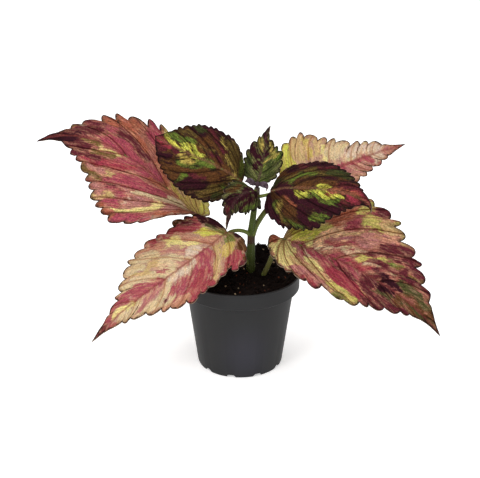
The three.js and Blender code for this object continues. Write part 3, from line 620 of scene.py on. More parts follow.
# Patches of pigment: (pigment, along the rib, out from it, to along, to out, half width), with out
# positive to the left of the rib. A later patch covers an earlier one.
PATCHES = {
    "leaf_back_left": (
        ("lime", 4, -8, 12, -60, 9), ("ochre", 16, -4, 24, -50, 8), ("ochre", 22, 2, 46, -6, 7),
        ("tan", 30, -16, 42, -40, 6), ("rust", 8, 9, 24, 40, 5), ("rust", 12, 18, 22, 36, 2),
        ("cream", 18, 8, 44, 24, 6.5), ("orchid", 20, 20, 28, 33, 4), ("yellow", 33, 28, 38, 44, 4.5),
        ("yellow", 38, 47, 54, 53, 5), ("yellow", 50, 54, 68, 57, 3), ("raspberry", 30, 52, 58, 63, 5),
        ("rust", 60, 61, 76, 57, 4), ("cream", 34, 22, 56, 31, 4.5), ("orchid", 42, 37, 58, 46, 5),
        ("raspberry", 60, 49, 73, 54, 4), ("tan", 72, 46, 84, 50, 4), ("orchid", 82, 45, 93, 42, 4),
        ("lilac", 57, 42, 64, 36, 3.5), ("orchid", 62, 41, 92, 37, 5), ("raspberry", 64, 41, 90, 37, 2.8),
        ("wine", 74, 37, 98, 33, 2.5), ("orchid", 62, 31, 76, 34, 3), ("raspberry", 42, 15, 84, 29, 7.5),
        ("tan", 84, 27, 98, 26, 4), ("orchid", 96, 29, 112, 27, 4), ("olive", 92, 38, 120, 28, 2.5),
        ("salmon", 42, 9, 92, 21, 3.4), ("raspberry", 50, 5, 84, 12, 5), ("crimson", 78, 12, 104, 21, 4.5),
        ("crimson", 100, 20, 134, 15, 5.5), ("wine", 104, 18, 132, 15, 2.4), ("raspberry", 76, 3, 96, 12, 2.5),
        ("olive", 95, 10, 114, 12, 2), ("yellow", 93, 3, 126, 5, 1.5), ("rust", 28, 4, 52, 6, 3),
        ("rust", 46, -6, 62, -24, 5), ("raspberry", 54, -4, 80, -16, 5), ("salmon", 48, -20, 66, -44, 3),
        ("rust", 56, -30, 76, -60, 5), ("tan", 68, -14, 77, -16, 1.6), ("raspberry", 76, -4, 116, -8, 6.5),
        ("wine", 72, -15, 114, -19, 4.5), ("raspberry", 108, -16, 130, -16, 4), ("olive", 110, -8, 128, -8, 2),
        ("rust", 80, -23, 100, -30, 3.5), ("rust", 96, -31, 112, -27, 4), ("salmon", 92, -41, 100, -44, 3.2),
        ("rust", 112, -23, 121, -24, 3.4), ("wine", 122, -16, 131, -17, 3), ("olive", 134, -10, 142, -10, 2.2),
        ("wine", 82, -46, 90, -49, 3), ("yellow", 76, -56, 82, -61, 3), ("rust", 94, -37, 108, -35, 2.2),
        ("raspberry", 80, -40, 87, -52, 5), ("wine", 124, 6, 150, 1, 7), ("wine", 122, -10, 146, -3, 5),
        ("olive", 112, 4, 128, 4, 1.8), ("plum", 138, 1, 176, -1, 5)),
    "leaf_front_left": (
        ("tan", 14, 5, 32, 26, 4), ("ochre", 9, 12, 20, 30, 5.5), ("moss", -3, 6, 3, 28, 7),
        ("plum", -4, 10, -1, 26, 4.5), ("green", 4, 4, 10, 12, 5), ("olive", 10, 14, 12, 24, 1.8),
        ("rust", 19, 24, 26, 35, 2.6), ("crimson", 16, 38, 30, 43, 9), ("wine", 8, 30, 18, 40, 8),
        ("umber", 3, 24, 8, 34, 9), ("crimson", 14, 28, 26, 38, 6.5), ("ochre", 12, 12, 16, 22, 4),
        ("tan", 26, 18, 47, 42, 3.4), ("raspberry", 26, 5, 46, 18, 6.5), ("raspberry", 44, 22, 66, 36, 11),
        ("crimson", 52, 40, 70, 42, 7), ("crimson", 44, 25, 66, 37, 6), ("raspberry", 56, 16, 78, 30, 3.6),
        ("raspberry", 66, 19, 88, 27, 2.6), ("cream", 75, 24, 86, 28, 3), ("salmon", 72, 35, 90, 33, 4.5),
        ("lilac", 42, 3, 76, 9, 4), ("cream", 72, 11, 93, 20, 4.5), ("wine", 80, 21, 90, 22, 0.9),
        ("cream", 90, 19, 106, 21, 6), ("rose", 76, 2, 101, 10, 4.5), ("cream", 103, 5, 122, 8, 5),
        ("raspberry", 124, 6, 136, 3, 2), ("raspberry", 122, 1, 136, 0, 1.6), ("moss", -2, -6, 4, -26, 9),
        ("plum", -3, -10, 3, -34, 4.6), ("green", 3, -3, 10, -9, 4), ("lime", 10, -6, 20, -26, 4),
        ("plum", 6, -28, 10, -40, 7.5), ("crimson", 12, -29, 40, -36, 8), ("umber", 14, -42, 36, -42, 1.8),
        ("wine", 12, -30, 20, -38, 2), ("salmon", 13, -4, 28, -22, 3.2), ("salmon", 22, -14, 33, -30, 2.6),
        ("yellow", 26, -9, 38, -24, 3.6), ("yellow", 36, -24, 50, -37, 4.5), ("lilac", 30, -3, 46, -13, 5),
        ("rose", 42, -13, 58, -30, 2.6), ("salmon", 50, -34, 64, -43, 5), ("orchid", 46, -2, 58, -8, 2.6),
        ("cream", 50, -12, 70, -24, 5.5), ("cream", 62, -30, 80, -34, 7), ("cream", 60, -7, 102, -18, 6),
        ("tan", 64, -20, 98, -26, 3.5), ("cream", 76, -29, 94, -28, 5), ("crimson", 44, -42, 54, -41, 2.4),
        ("raspberry", 63, -9, 66, -12, 1.8), ("raspberry", 73, -3, 106, -7, 4.5),
        ("raspberry", 104, -9, 136, -4, 5), ("yellow", 103, -2, 122, -2, 2.2), ("wine", 134, 0, 142, 0, 3),
        ("plum", 141, 0, 152, 0, 4)),
    "leaf_back_right": (
        ("lime", 8, 12, 26, 38, 7), ("tan", 28, 22, 36, 43, 4.5), ("ochre", 37, 20, 44, 38, 2.6),
        ("tan", 46, 22, 56, 38, 4), ("yellow", 47, 11, 55, 23, 3), ("cream", 56, 14, 72, 24, 6),
        ("cream", 68, 3, 78, 8, 5), ("lilac", 76, 10, 98, 11, 6), ("cream", 64, 26, 78, 24, 3),
        ("cream", 88, 15, 101, 14, 3), ("lilac", 88, 5, 106, 3, 2.4), ("salmon", 110, 1, 122, 0, 3),
        ("raspberry", 56, -3, 95, -6, 3.6), ("rose", 60, -9, 96, -13, 4), ("orchid", 64, -13, 94, -12, 2.6),
        ("lilac", 90, -3, 102, -3, 3), ("rose", 104, -4, 118, -1, 3)),
    # On this leaf the peach patches are painted light, paler than its own colour to lift the shade that the dark leaf
    # above casts on them; some lime and yellow patches by the stalk are paler for the same reason.
    "leaf_front_right": (
        ("lime", 4, -2, 14, 10, 8), ("lime", 12, 6, 30, 20, 7), ("yellow", 22, 3, 38, 8, 4),
        ("pear", 22, 22, 36, 23, 4), ("painted_light_peach", 34, 12, 46, 28, 8), ("rust", 34, 36, 46, 50, 7),
        ("painted_light_peach", 46, 18, 72, 32, 8), ("orchid", 58, 25, 80, 38, 7), ("raspberry", 36, 11, 58, 19, 1.2),
        ("rose", 40, 17, 66, 29, 1.6), ("tan", 46, 24, 70, 38, 1.2), ("pear", 51, 48, 58, 60, 5),
        ("raspberry", 47, 33, 66, 58, 3), ("wine", 62, 56, 71, 62, 4), ("pear", 58, 43, 80, 52, 4.5),
        ("tan", 74, 50, 87, 45, 5), ("salmon", 72, 35, 84, 42, 2.8), ("wine", 80, 28, 98, 36, 6),
        ("crimson", 44, 8, 84, 21, 4), ("cream", 30, 4, 66, 12, 1.2), ("cream", 52, 12, 72, 20, 1),
        ("wine", 72, 19, 100, 28, 2.6), ("pear", 66, 11, 94, 17, 2.6), ("green", 92, 18, 110, 20, 4),
        ("lime", 104, 17, 110, 20, 1.4), ("olive", 96, 18, 111, 22, 2), ("wine", 78, 11, 118, 14, 3),
        ("wine", 106, 17, 126, 20, 7), ("olive", 108, 20, 124, 22, 2.2), ("wine", 100, 32, 114, 27, 5),
        ("crimson", 58, 2, 92, 5, 3.5), ("cream", 76, 8, 98, 11, 1), ("wine", 90, 4, 124, 3, 5.5),
        ("plum", 98, 3, 124, 2, 5.5), ("moss", 108, 8, 146, 5, 4.5), ("umber", 118, 0, 154, -1, 4.6),
        ("plum", 118, -3, 142, -3, 3), ("yellow", 0, -6, 12, -22, 10), ("rust", -9, -1, -7, -9, 4),
        ("yellow", 8, -18, 30, -34, 8), ("rose", 17, -5, 30, -16, 4), ("raspberry", 20, -6, 30, -14, 1.6),
        ("raspberry", 28, -2, 50, -14, 4.5), ("cream", 21, -4, 38, -11, 1), ("yellow", 32, -17, 48, -24, 4.5),
        ("tan", 40, -24, 60, -31, 4.5), ("yellow", 51, -20, 59, -26, 2.8), ("tan", 23, -23, 37, -34, 3),
        ("rose", 33, -35, 54, -44, 6), ("crimson", 40, -43, 57, -47, 3), ("raspberry", 50, -5, 82, -13, 6.5),
        ("crimson", 58, -17, 94, -29, 8.5), ("wine", 50, -5, 78, -17, 1.2), ("rose", 70, -5, 80, -10, 1.4),
        ("pear", 61, -34, 83, -40, 3.6), ("green", 70, -43, 84, -46, 3.5), ("tan", 82, -16, 92, -18, 2.4),
        ("wine", 86, -8, 122, -12, 9), ("plum", 94, -5, 116, -7, 4.6), ("wine", 94, -20, 114, -20, 5),
        ("crimson", 92, -22, 108, -23, 2), ("wine", 92, -28, 108, -27, 5.5), ("moss", 92, -10, 112, -8, 2),
        ("umber", 114, -4, 152, -3, 5.5), ("moss", 116, -3, 150, -3, 1.4)),
    "leaf_dark_left": (
        ("moss", 4, 4, 16, 22, 5), ("olive", 10, 8, 26, 26, 4), ("green", 10, 11, 17, 10, 2.5),
        ("umber", 20, 8, 62, 19, 5), ("plum", 30, 19, 48, 26, 4.5), ("plum", 46, 24, 60, 28, 4),
        ("wine", 32, 14, 50, 18, 1.3), ("green", 48, 19, 56, 27, 3), ("umber", 56, 22, 70, 20, 4),
        ("green", 27, 2, 44, 6, 3), ("green", 44, 6, 66, 10, 3.4), ("ochre", 46, 4.5, 62, 7.5, 1.4),
        ("ochre", 50, 3, 62, 4, 1.6), ("wine", 62, 3, 80, 5, 3), ("crimson", 74, 2, 92, -3, 4.5),
        ("umber", 64, 12, 86, 12, 4.5), ("plum", 66, 12, 80, 13, 2), ("wine", 78, 6, 88, 5, 2),
        ("olive", 0, -1, 12, -8, 3.5), ("green", 6, -6, 14, -24, 3.4), ("moss", 12, -22, 20, -28, 3),
        ("olive", 12, -8, 24, -26, 3), ("ochre", 11, -2, 19, -9, 1.5), ("umber", 19, -2, 52, -9, 5),
        ("wine", 22, -3, 38, -5, 1.2), ("lime", 41, -2, 60, -5, 2), ("lime", 56, -5, 80, -9, 3),
        ("lime", 58, -3, 74, -5, 1.8), ("ochre", 28, -9, 54, -13, 1.8), ("olive", 34, -12, 58, -15, 2.2),
        ("green", 56, -12, 77, -12, 3.4), ("umber", 22, -9, 46, -22, 3), ("ochre", 20, -10, 33, -27, 1.2),
        ("wine", 26, -14, 46, -27, 2.6), ("umber", 34, -15, 56, -22, 2.6), ("umber", 46, -17, 78, -19, 4.4),
        ("plum", 48, -19, 64, -21, 1.8), ("olive", 56, -16, 76, -17, 1.4), ("moss", 52, -23, 63, -26, 2.6),
        ("plum", 26, -30, 56, -31, 2.6)),
    "leaf_dark_right": (
        ("moss", 5, 3, 12, 18, 4.5), ("umber", 10, 14, 30, 26, 5), ("plum", 14, 20, 30, 28, 2),
        ("wine", 27, 27, 60, 27, 6), ("plum", 30, 28, 58, 28, 2.8), ("wine", 46, 22, 62, 24, 2),
        ("olive", 16, 7, 34, 20, 3.5), ("olive", 28, 12, 60, 17, 4), ("green", 17, 4, 25, 11, 2.8),
        ("green", 26, 13, 40, 14, 1.4), ("moss", 50, 18, 66, 19, 3.4), ("umber", 24, 6, 50, 8, 2),
        ("ochre", 26, 3.5, 40, 6, 1.2), ("umber", 44, 8, 80, 10, 3.8), ("plum", 46, 9, 70, 10, 1.8),
        ("umber", 26, 3, 58, 5, 3.4), ("umber", 42, 3, 60, 4.5, 2.6), ("lime", 46, 0.5, 60, 1.5, 1.4),
        ("rust", 58, 4, 72, 3, 2.6), ("salmon", 60, 1.5, 68, 0.5, 1.2), ("wine", 66, 6, 90, -1, 6),
        ("rust", 64, 3, 82, 1, 2.6), ("crimson", 76, 2, 92, -2, 3.4), ("rust", 66, 0, 80, -1, 1.6),
        ("plum", -3, -4, 4, -18, 5.5), ("plum", 4, -20, 16, -31, 5), ("umber", 8, -5, 30, -24, 4),
        ("rust", 16, -10, 34, -21, 1.4), ("plum", 13, -3, 40, -10, 4.2), ("plum", 34, -11, 68, -18, 5),
        ("lime", 26, -2, 44, -7, 2.4), ("lime", 30, -2.5, 42, -5.5, 2.6), ("green", 42, -7, 52, -10, 1.8),
        ("lime", 48, -3, 72, -9, 2.6), ("lime", 52, -3.5, 70, -8, 2.8), ("green", 54, -9, 66, -11, 1.6),
        ("rust", 58, -1, 77, -4, 2), ("green", 9, -12, 18, -25, 2.2), ("ochre", 12, -14, 22, -27, 1.1),
        ("olive", 18, -26, 40, -34, 3.6), ("green", 20, -27, 38, -33, 1.2), ("umber", 22, -20, 44, -28, 3.2),
        ("plum", 34, -22, 48, -31, 4), ("green", 46, -23, 60, -26, 3.8), ("wine", 68, -11, 78, -12, 2),
        ("crimson", 72, -5, 82, -8, 2.6)),
    "leaf_small_front": (
        ("moss", 0, 4, 14, 14, 4), ("green", 10, 8, 30, 14, 3.2), ("moss", 2, -4, 20, -12, 4),
        ("umber", 12, -8, 24, -12, 2.4), ("plum", 2, 0, 50, 0, 4.5), ("plum", 8, 3, 26, 9, 2.4),
        ("wine", 36, 0, 50, 0, 3)),
    "leaf_small_top": (
        ("moss", 2, 8, 18, 12, 4), ("green", 2, -5, 14, -8, 3), ("green", 16, -4, 32, -12, 5.5),
        ("ochre", 18, -5, 28, -9, 1.4), ("ochre", 26, 4, 38, 7, 2.6), ("plum", 14, 1, 50, 0, 2.2),
        ("plum", 20, 4, 34, 13, 3), ("moss", 5, -5, 16, -9, 2.4), ("ochre", 29, -3, 39, -4, 2)),
}


def patch_fields(places, patches):
    """How much of each pigment lies at flat places: above 0.5 within its strokes, and more at their cores."""
    warp = np.stack([places[..., 0], places[..., 1], 0 * places[..., 0]], axis=-1)
    x = places[..., 0] + WARP["reach"] * lumps(warp, WARP["size"])
    s = places[..., 1] + WARP["reach"] * lumps(warp + WARP["apart"], WARP["size"])
    fields = {pigment: np.full_like(x, ABSENT) for pigment in PIGMENTS}
    for pigment, x0, s0, x1, s1, radius in patches:
        span = np.array((x1 - x0, s1 - s0), float)
        share = np.clip(((x - x0) * span[0] + (s - s0) * span[1]) / (span @ span), 0, 1)
        distance = np.hypot(x - x0 - share * span[0], s - s0 - share * span[1])
        cover = np.clip(0.5 + (radius - distance) / FEATHER, ABSENT, CORE)
        for other, values in fields.items():
            fields[other] = lerp(values, ABSENT, np.clip(cover, 0, 1))
        fields[pigment] = np.maximum(fields[pigment], cover)
    return fields


def blade_rows(count):
    """Rows of the blade, from its base to its tip, as shares of the margin."""
    start, end = TOOTHED
    if not count:
        return np.linspace(0, 1, 3 * PLAIN_STEPS)
    base = np.linspace(0, start, PLAIN_STEPS)[:-1]
    toothed = lerp(start, end, (np.arange(count)[:, None] + TOOTH_STEPS).ravel() / count)
    return np.concatenate([base, toothed, np.linspace(end, 1, PLAIN_STEPS)])


def leaf_relief(across, out, pitch, edge, flat, seed):
    """How far the upper face stands above the smooth blade: sunk veins, and pillows between them."""
    r = RELIEF
    main = np.abs((across - 0.5 + 1) % 2 - 1) * pitch
    lesser = np.abs((across - 0.5 + 0.5) % 1 - 0.5) * pitch
    wide = smoothstep(r["crowded"], r["roomy"], pitch)
    fade = smoothstep(0, r["margin"], edge)
    deep = r["vein"] * np.exp(-(main / r["vein_width"]) ** 2)
    fine = r["lesser"] * smoothstep(LESSER_FROM, LESSER_FULL, out) * np.exp(-(lesser / r["lesser_width"]) ** 2)
    pillow = r["pillow"] * (1 - np.exp(-(main / r["pillow_width"]) ** 2))
    rib = r["rib"] * np.exp(-(flat[..., 1] / r["rib_width"]) ** 2)
    spots = np.stack([flat[..., 0], flat[..., 1], np.full_like(out, SEEDS_APART * seed)], axis=-1)
    bumps = r["lumps"] * (lumps(spots, r["lump_size"])
                          + FINE_LUMPS["share"] * lumps(spots, r["lump_size"] / FINE_LUMPS["finer"]))
    rounded = r["edge"] * (1 - smoothstep(0, r["edge_width"], edge))
    return wide * fade * (pillow - deep - fine) - rib + bumps - rounded


def blade(name, leaf, materials):
    """A leaf's blade with its relief, its pigments and its thickness."""
    spec = leaf.spec
    nominal = blade_rows(spec["teeth"])
    start, end = TOOTHED
    sides = []
    for side in (0, 1):
        rows, outs = np.meshgrid(nominal, OUTS, indexing="ij")
        flat = leaf.flat(side, rows, outs)
        across = (rows - start) / (end - start) * max(spec["teeth"], LEAST_TEETH) + HALVES_APART * side
        flat_space = leaf.point(flat[..., 0], flat[..., 1], side)
        along_margin = np.gradient(flat_space[:, -1], axis=0)
        down, over = np.gradient(flat, axis=0), np.gradient(flat, axis=1)
        area = np.abs(down[..., 0] * over[..., 1] - down[..., 1] * over[..., 0])
        pitch = area / np.maximum(np.linalg.norm(over, axis=-1), 1e-6) / np.gradient(across, axis=0)
        reach = np.linalg.norm(np.cross(unit(along_margin)[:, None], flat_space[:, -1:] - flat_space), axis=-1)
        from_rib = np.linalg.norm(flat - flat[:, :1], axis=-1)
        lift = spec.get("relief", 1) * leaf_relief(across, outs, pitch, reach, flat, spec["seed"] + 0.5 * side)
        places = leaf.point(flat[..., 0], flat[..., 1], side, lift)
        hand = -1 if side else 1
        signed = np.stack([flat[..., 0], hand * flat[..., 1]], axis=-1)
        sides.append(dict(places=places, flat=signed, across=across, pitch=pitch, edge=reach, from_rib=from_rib))

    left, right = sides
    rib = (left["places"][:, :1] + right["places"][:, :1]) / 2
    places = np.concatenate([left["places"][:, :0:-1], rib, right["places"][:, 1:]], axis=1)
    piece = sheet(name, places)
    grids = {key: np.concatenate([left[key][:, :0:-1], right[key]], axis=1)
             for key in ("flat", "pitch", "edge", "from_rib", "across")}
    for key in ("pitch", "edge"):
        field(piece, key, grids[key])
    for pigment, values in patch_fields(grids["flat"], PATCHES.get(name, ())).items():
        field(piece, pigment, values)

    corners = np.empty(len(piece.data.loops), dtype=np.int32)
    piece.data.loops.foreach_get("vertex_index", corners)
    columns = places.shape[1]
    column = corners % columns
    right_face = np.repeat((np.arange(len(piece.data.polygons)) % (columns - 1)) >= len(OUTS) - 1, 4)
    across = grids["across"].ravel()[corners]
    # the rib's own column belongs to both halves
    across = np.where((column == len(OUTS) - 1) & ~right_face, across - HALVES_APART, across)
    uv_map(piece, "veins", across, grids["from_rib"].ravel()[corners] / TO_CENTIMETRES)
    flat = grids["flat"].reshape(-1, 2)[corners] / TO_DECIMETRES
    uv_map(piece, "flat", flat[:, 0], flat[:, 1])
    piece.data.uv_layers.remove(piece.data.uv_layers["UVMap"])

    edit_all(piece, lambda: bpy.ops.mesh.remove_doubles(threshold=WELD))
    for made in materials:
        piece.data.materials.append(made)
    apply(piece, "SOLIDIFY", thickness=BLADE_THICKNESS * MM, offset=0.0, use_even_offset=False,
          material_offset=1, material_offset_rim=1)
    smooth(piece, 55)
    return piece


# taper: the stalk's radius at the blade, as a share of that at its foot; rib_end, rib_gain: the radius that
# the rib ends with, and what it gains with the stalk's; sink, fuse: how far the rib lies below the blade;
# flare, flare_reach: how much the foot swells, and over what share of the stalk
STALK = dict(steps=40, rib_steps=24, sink=0.55, fuse=0.2, sides=14, taper=0.8, rib_end=0.3, rib_gain=0.08,
             flare=0.35, flare_reach=0.1)


def stalk(name, spec, leaf, made):
    """A leaf's stalk, and the raised rib that it becomes under the blade."""
    base_radius = STALK["taper"] * spec["stalk_radius"]
    fade_radius = STALK["rib_end"] + STALK["rib_gain"] * spec["stalk_radius"]
    shares = np.linspace(0, RIB_REACH, STALK["rib_steps"] + 1)
    radii = lerp(base_radius, fade_radius, shares / RIB_REACH)
    x = shares * leaf.length
    under = leaf.point(x, 0 * x, 0, -(STALK["sink"] * radii + STALK["fuse"] + RELIEF["rib"]))
    foot, lead = np.asarray(spec["stalk"], float)
    back = bezier(spec["rib"], 0.0)[1] * -spec["arch"] * np.linalg.norm(np.asarray(spec["rib"][0]) - foot)
    run_shares = np.linspace(0, 1, STALK["steps"] + 1)
    run, _ = bezier((foot, lead, under[0] + back, under[0]), run_shares)
    path = np.concatenate([run, under[1:]])
    stalk_radii = lerp(spec["stalk_radius"], base_radius, run_shares)
    flare = STALK["flare"] * np.exp(-(run_shares / STALK["flare_reach"]) ** 2)
    piece = tube(name, path, np.concatenate([stalk_radii * (1 + flare), radii[1:]]), STALK["sides"])
    piece.data.materials.append(made)
    smooth(piece)
    return piece


def stalk_material(name, low, high, flush):
    """Fresh leaf-stalk skin: smooth, a little translucent, streaked along its length."""
    made, tree = new_material(name)
    place = node(tree, "TexCoord").outputs["Object"]
    fibres = node(tree, "Mapping", {"Vector": place, "Scale": (900.0, 900.0, 120.0)})
    mottled = node(tree, "TexNoise", {"Vector": fibres, "Scale": 1.0, "Detail": 3.0})
    colour = node(tree, "Mix", {0: mottled, MIX_A: linear(low), MIX_B: linear(high)}, data_type="RGBA")
    blush = node(tree, "MapRange", {"Value": node(tree, "TexNoise", {"Vector": place, "Scale": 60.0}),
                                    "From Min": 0.4, "From Max": 0.6, "To Max": 0.5}, interpolation_type="SMOOTHSTEP")
    colour = node(tree, "Mix", {0: blush, MIX_A: colour, MIX_B: linear(flush)}, data_type="RGBA")
    shader = node(tree, "BsdfPrincipled", {
        "Base Color": colour, "Roughness": 0.5, "IOR": 1.42, "Specular IOR Level": 0.2,
        "Subsurface Weight": 0.05, "Subsurface Radius": (0.002, 0.002, 0.001),
        "Normal": node(tree, "Bump", {"Strength": 0.2, "Distance": 0.0003, "Height": mottled}),
    })
    node(tree, "OutputMaterial", {"Surface": shader})
    return made


def hair_material():
    """Plant hairs: clear, drawn-out cells that catch the light, so a pale glint along the stalks."""
    made, tree = new_material("hair_clear")
    place = node(tree, "TexCoord").outputs["Object"]
    mixed = node(tree, "TexNoise", {"Vector": place, "Scale": 900.0})
    colour = node(tree, "Mix", {0: mixed, MIX_A: linear("8f9468"), MIX_B: linear("d9d6c4")}, data_type="RGBA")
    shader = node(tree, "BsdfPrincipled", {"Base Color": colour, "Roughness": 0.4, "IOR": 1.42,
                                           "Specular IOR Level": 0.3})
    node(tree, "OutputMaterial", {"Surface": shader})
    return made


# Hairs to a square millimetre, their lengths and their radius at the root in millimetres, and how far they
# lean. They are drawn about twice as thick as real ones, to show.
HAIRS = dict(density=0.22, length=(0.35, 0.9), radius=0.06, lean=0.3, seed=5)


def downy(piece, made):
    """The piece with short hairs all over its skin."""
    deselect()
    bpy.ops.mesh.primitive_cone_add(vertices=3, radius1=HAIRS["radius"] * MM, radius2=0, depth=MM,
                                    location=(0, 0, 0.5 * MM))
    bpy.ops.object.transform_apply(location=True, rotation=False, scale=False)
    hair = bpy.context.object
    hair.data.materials.append(made)
    skin = piece.data
    areas = [face.area for face in skin.polygons]
    grown = []
    for face in random.choices(skin.polygons, areas, k=round(sum(areas) / MM ** 2 * HAIRS["density"])):
        shares = [random.random() for _ in face.vertices]
        root = sum((skin.vertices[corner].co * share for corner, share in zip(face.vertices, shares)), Vector())
        lean = face.normal + Vector([random.gauss(0, HAIRS["lean"]) for _ in range(3)])
        copy = hair.copy()
        copy.data = hair.data.copy()
        bpy.context.collection.objects.link(copy)
        copy.location = root / sum(shares)
        copy.rotation_euler = lean.to_track_quat("Z", "Y").to_euler()
        copy.scale = (1, 1, random.uniform(*HAIRS["length"]))
        grown.append(copy)
    bpy.data.objects.remove(hair)
    return join(piece, *grown)


LEAF_SLOTS = {
    "leaf_back_left": "leaf_rose",
    "leaf_front_left": "leaf_cream",
    "leaf_back_right": "leaf_cream",
    "leaf_front_right": "leaf_rose",
    "leaf_dark_left": "leaf_dark",
    "leaf_dark_right": "leaf_dark",
    "leaf_small_front": "leaf_young",
    "leaf_small_top": "leaf_young",
}

DOWN = 0.45  # how much of the underside's colour its pale down hides

upper = {slot: leaf_material(slot + "_upper", **looks) for slot, looks in LEAF_FINISHES.items()}
lower = {slot: leaf_material(slot + "_underside", under=DOWN, **looks) for slot, looks in LEAF_FINISHES.items()}
petiole = stalk_material("petiole_green", "4b5726", "6a7236", "4f4027")

hair_clear = hair_material()
random.seed(HAIRS["seed"])
for leaf_name, slot in LEAF_SLOTS.items():
    form = Leaf(LEAVES[leaf_name])
    leaf = blade(leaf_name, form, (upper[slot], lower[slot]))
    leaf = join(leaf, downy(stalk(leaf_name + "_stalk", LEAVES[leaf_name], form, petiole), hair_clear))
    leaf.name = leaf_name + "_leaf"
    finish(leaf, slot, leaf_name)

# ---------------------------------------------------------------- bud

bud_skins = (upper["leaf_bud"], lower["leaf_bud"])
leaflets = [blade("bud_leaflet", Leaf(dict(LEAFLET, rib=rib, roll=(roll, roll))), bud_skins)
            for rib, roll in LEAFLETS]
deselect()
bpy.ops.mesh.primitive_uv_sphere_add(segments=24, ring_count=16, radius=MM,
                                     location=Vector(BUD["centre"]) * MM)
bud = bpy.context.object
bud.scale = BUD["radii"]
bpy.ops.object.transform_apply(location=True, rotation=True, scale=True)
bud.data.materials.append(bud_skins[0])
smooth(bud)
bud = join(bud, *leaflets)
bud.name = "shoot_bud"
finish(bud, "leaf_young", "shoot_tip")

# ---------------------------------------------------------------- stem

STEM = dict(path=((9, 0, 40), (9.2, 0, 84), (9.9, 0, 122), (11.8, 0, 141), (14, 0, 158), (14.6, 0, 162.5)),
            radius=(3.45, 2.05), taper_from=0.35, squareness=0.12, joints=(122, 157), swelling=0.5,
            swelling_reach=3.5, sides=48, steps=260)
# bands: the first darkens the stem towards the soil, the others flush it maroon; for each, the height of its middle,
# how far off it is absent and full, in metres, how strong it is, its colour
STEM_BANDS = ((0.084, 0.03, 0.0, 0.6, "20240c"), (0.1155, 0.006, 0.002, 0.85, "3a1a17"),
                (0.163, 0.014, 0.003, 0.7, "4a3338"))


def stem_piece():
    """The stem: square with rounded corners, and swollen where leaves join it."""
    points = np.asarray(STEM["path"], float)
    steps, lengths = evenly(points, spline)
    share = np.linspace(0, 1, STEM["steps"] + 1)
    path, _ = spline(points, np.interp(share * lengths[-1], lengths, steps))
    height = path[:, 2]
    swell = STEM["swelling"] * np.max([np.exp(-((height - joint) / STEM["swelling_reach"]) ** 2)
                                       for joint in STEM["joints"]], axis=0)
    radius = lerp(*STEM["radius"], smoothstep(STEM["taper_from"], 1, share)) + swell
    piece = tube("stem_shoot", path, radius, STEM["sides"], STEM["squareness"])
    smooth(piece)
    return piece


def stem_material():
    """Square herbaceous stem: green ridges, darker low down, flushed maroon below its joint and at its tip."""
    made, tree = new_material("stem_green")
    place = node(tree, "TexCoord").outputs["Object"]
    height = node(tree, "SeparateXYZ", {0: place}).outputs[2]
    ridges = node(tree, "Mapping", {"Vector": place, "Scale": (700.0, 700.0, 60.0)})
    streaks = node(tree, "TexNoise", {"Vector": ridges, "Scale": 1.0, "Detail": 4.0})
    colour = node(tree, "Mix", {0: streaks, MIX_A: linear("2f3a12"), MIX_B: linear("4c5820")}, data_type="RGBA")
    for middle, none, full, most, shade in STEM_BANDS:
        away = node(tree, "Math", {0: node(tree, "Math", {0: height, 1: middle}, operation="SUBTRACT")},
                    operation="ABSOLUTE")
        mask = node(tree, "MapRange", {"Value": away, "From Min": none, "From Max": full, "To Max": most},
                    interpolation_type="SMOOTHSTEP")
        colour = node(tree, "Mix", {0: mask, MIX_A: colour, MIX_B: linear(shade)}, data_type="RGBA")
    shader = node(tree, "BsdfPrincipled", {
        "Base Color": colour, "Roughness": 0.5, "IOR": 1.42, "Specular IOR Level": 0.2,
        "Subsurface Weight": 0.05, "Subsurface Radius": (0.002, 0.002, 0.001),
        "Normal": node(tree, "Bump", {"Strength": 0.4, "Distance": 0.0003, "Height": streaks}),
    })
    node(tree, "OutputMaterial", {"Surface": shader})
    return made


stem = stem_piece()
stem.data.materials.append(stem_material())
stem = downy(stem, hair_clear)
finish(stem, "stem", "stem")

# ---------------------------------------------------------------- pot

POT = dict(height=86, rim_radius=52.5, rim_height=13.5, shoulder_height=3.5, body_top_radius=46.8,
           foot_radius=37.7, foot_round=1.5, wall=1.0, floor=1.4, lip=0.5, lip_height=1.6, segments=160)
DRAINS = dict(count=10, width=8, height=3, reach=7, outside=2, first_angle=-12)


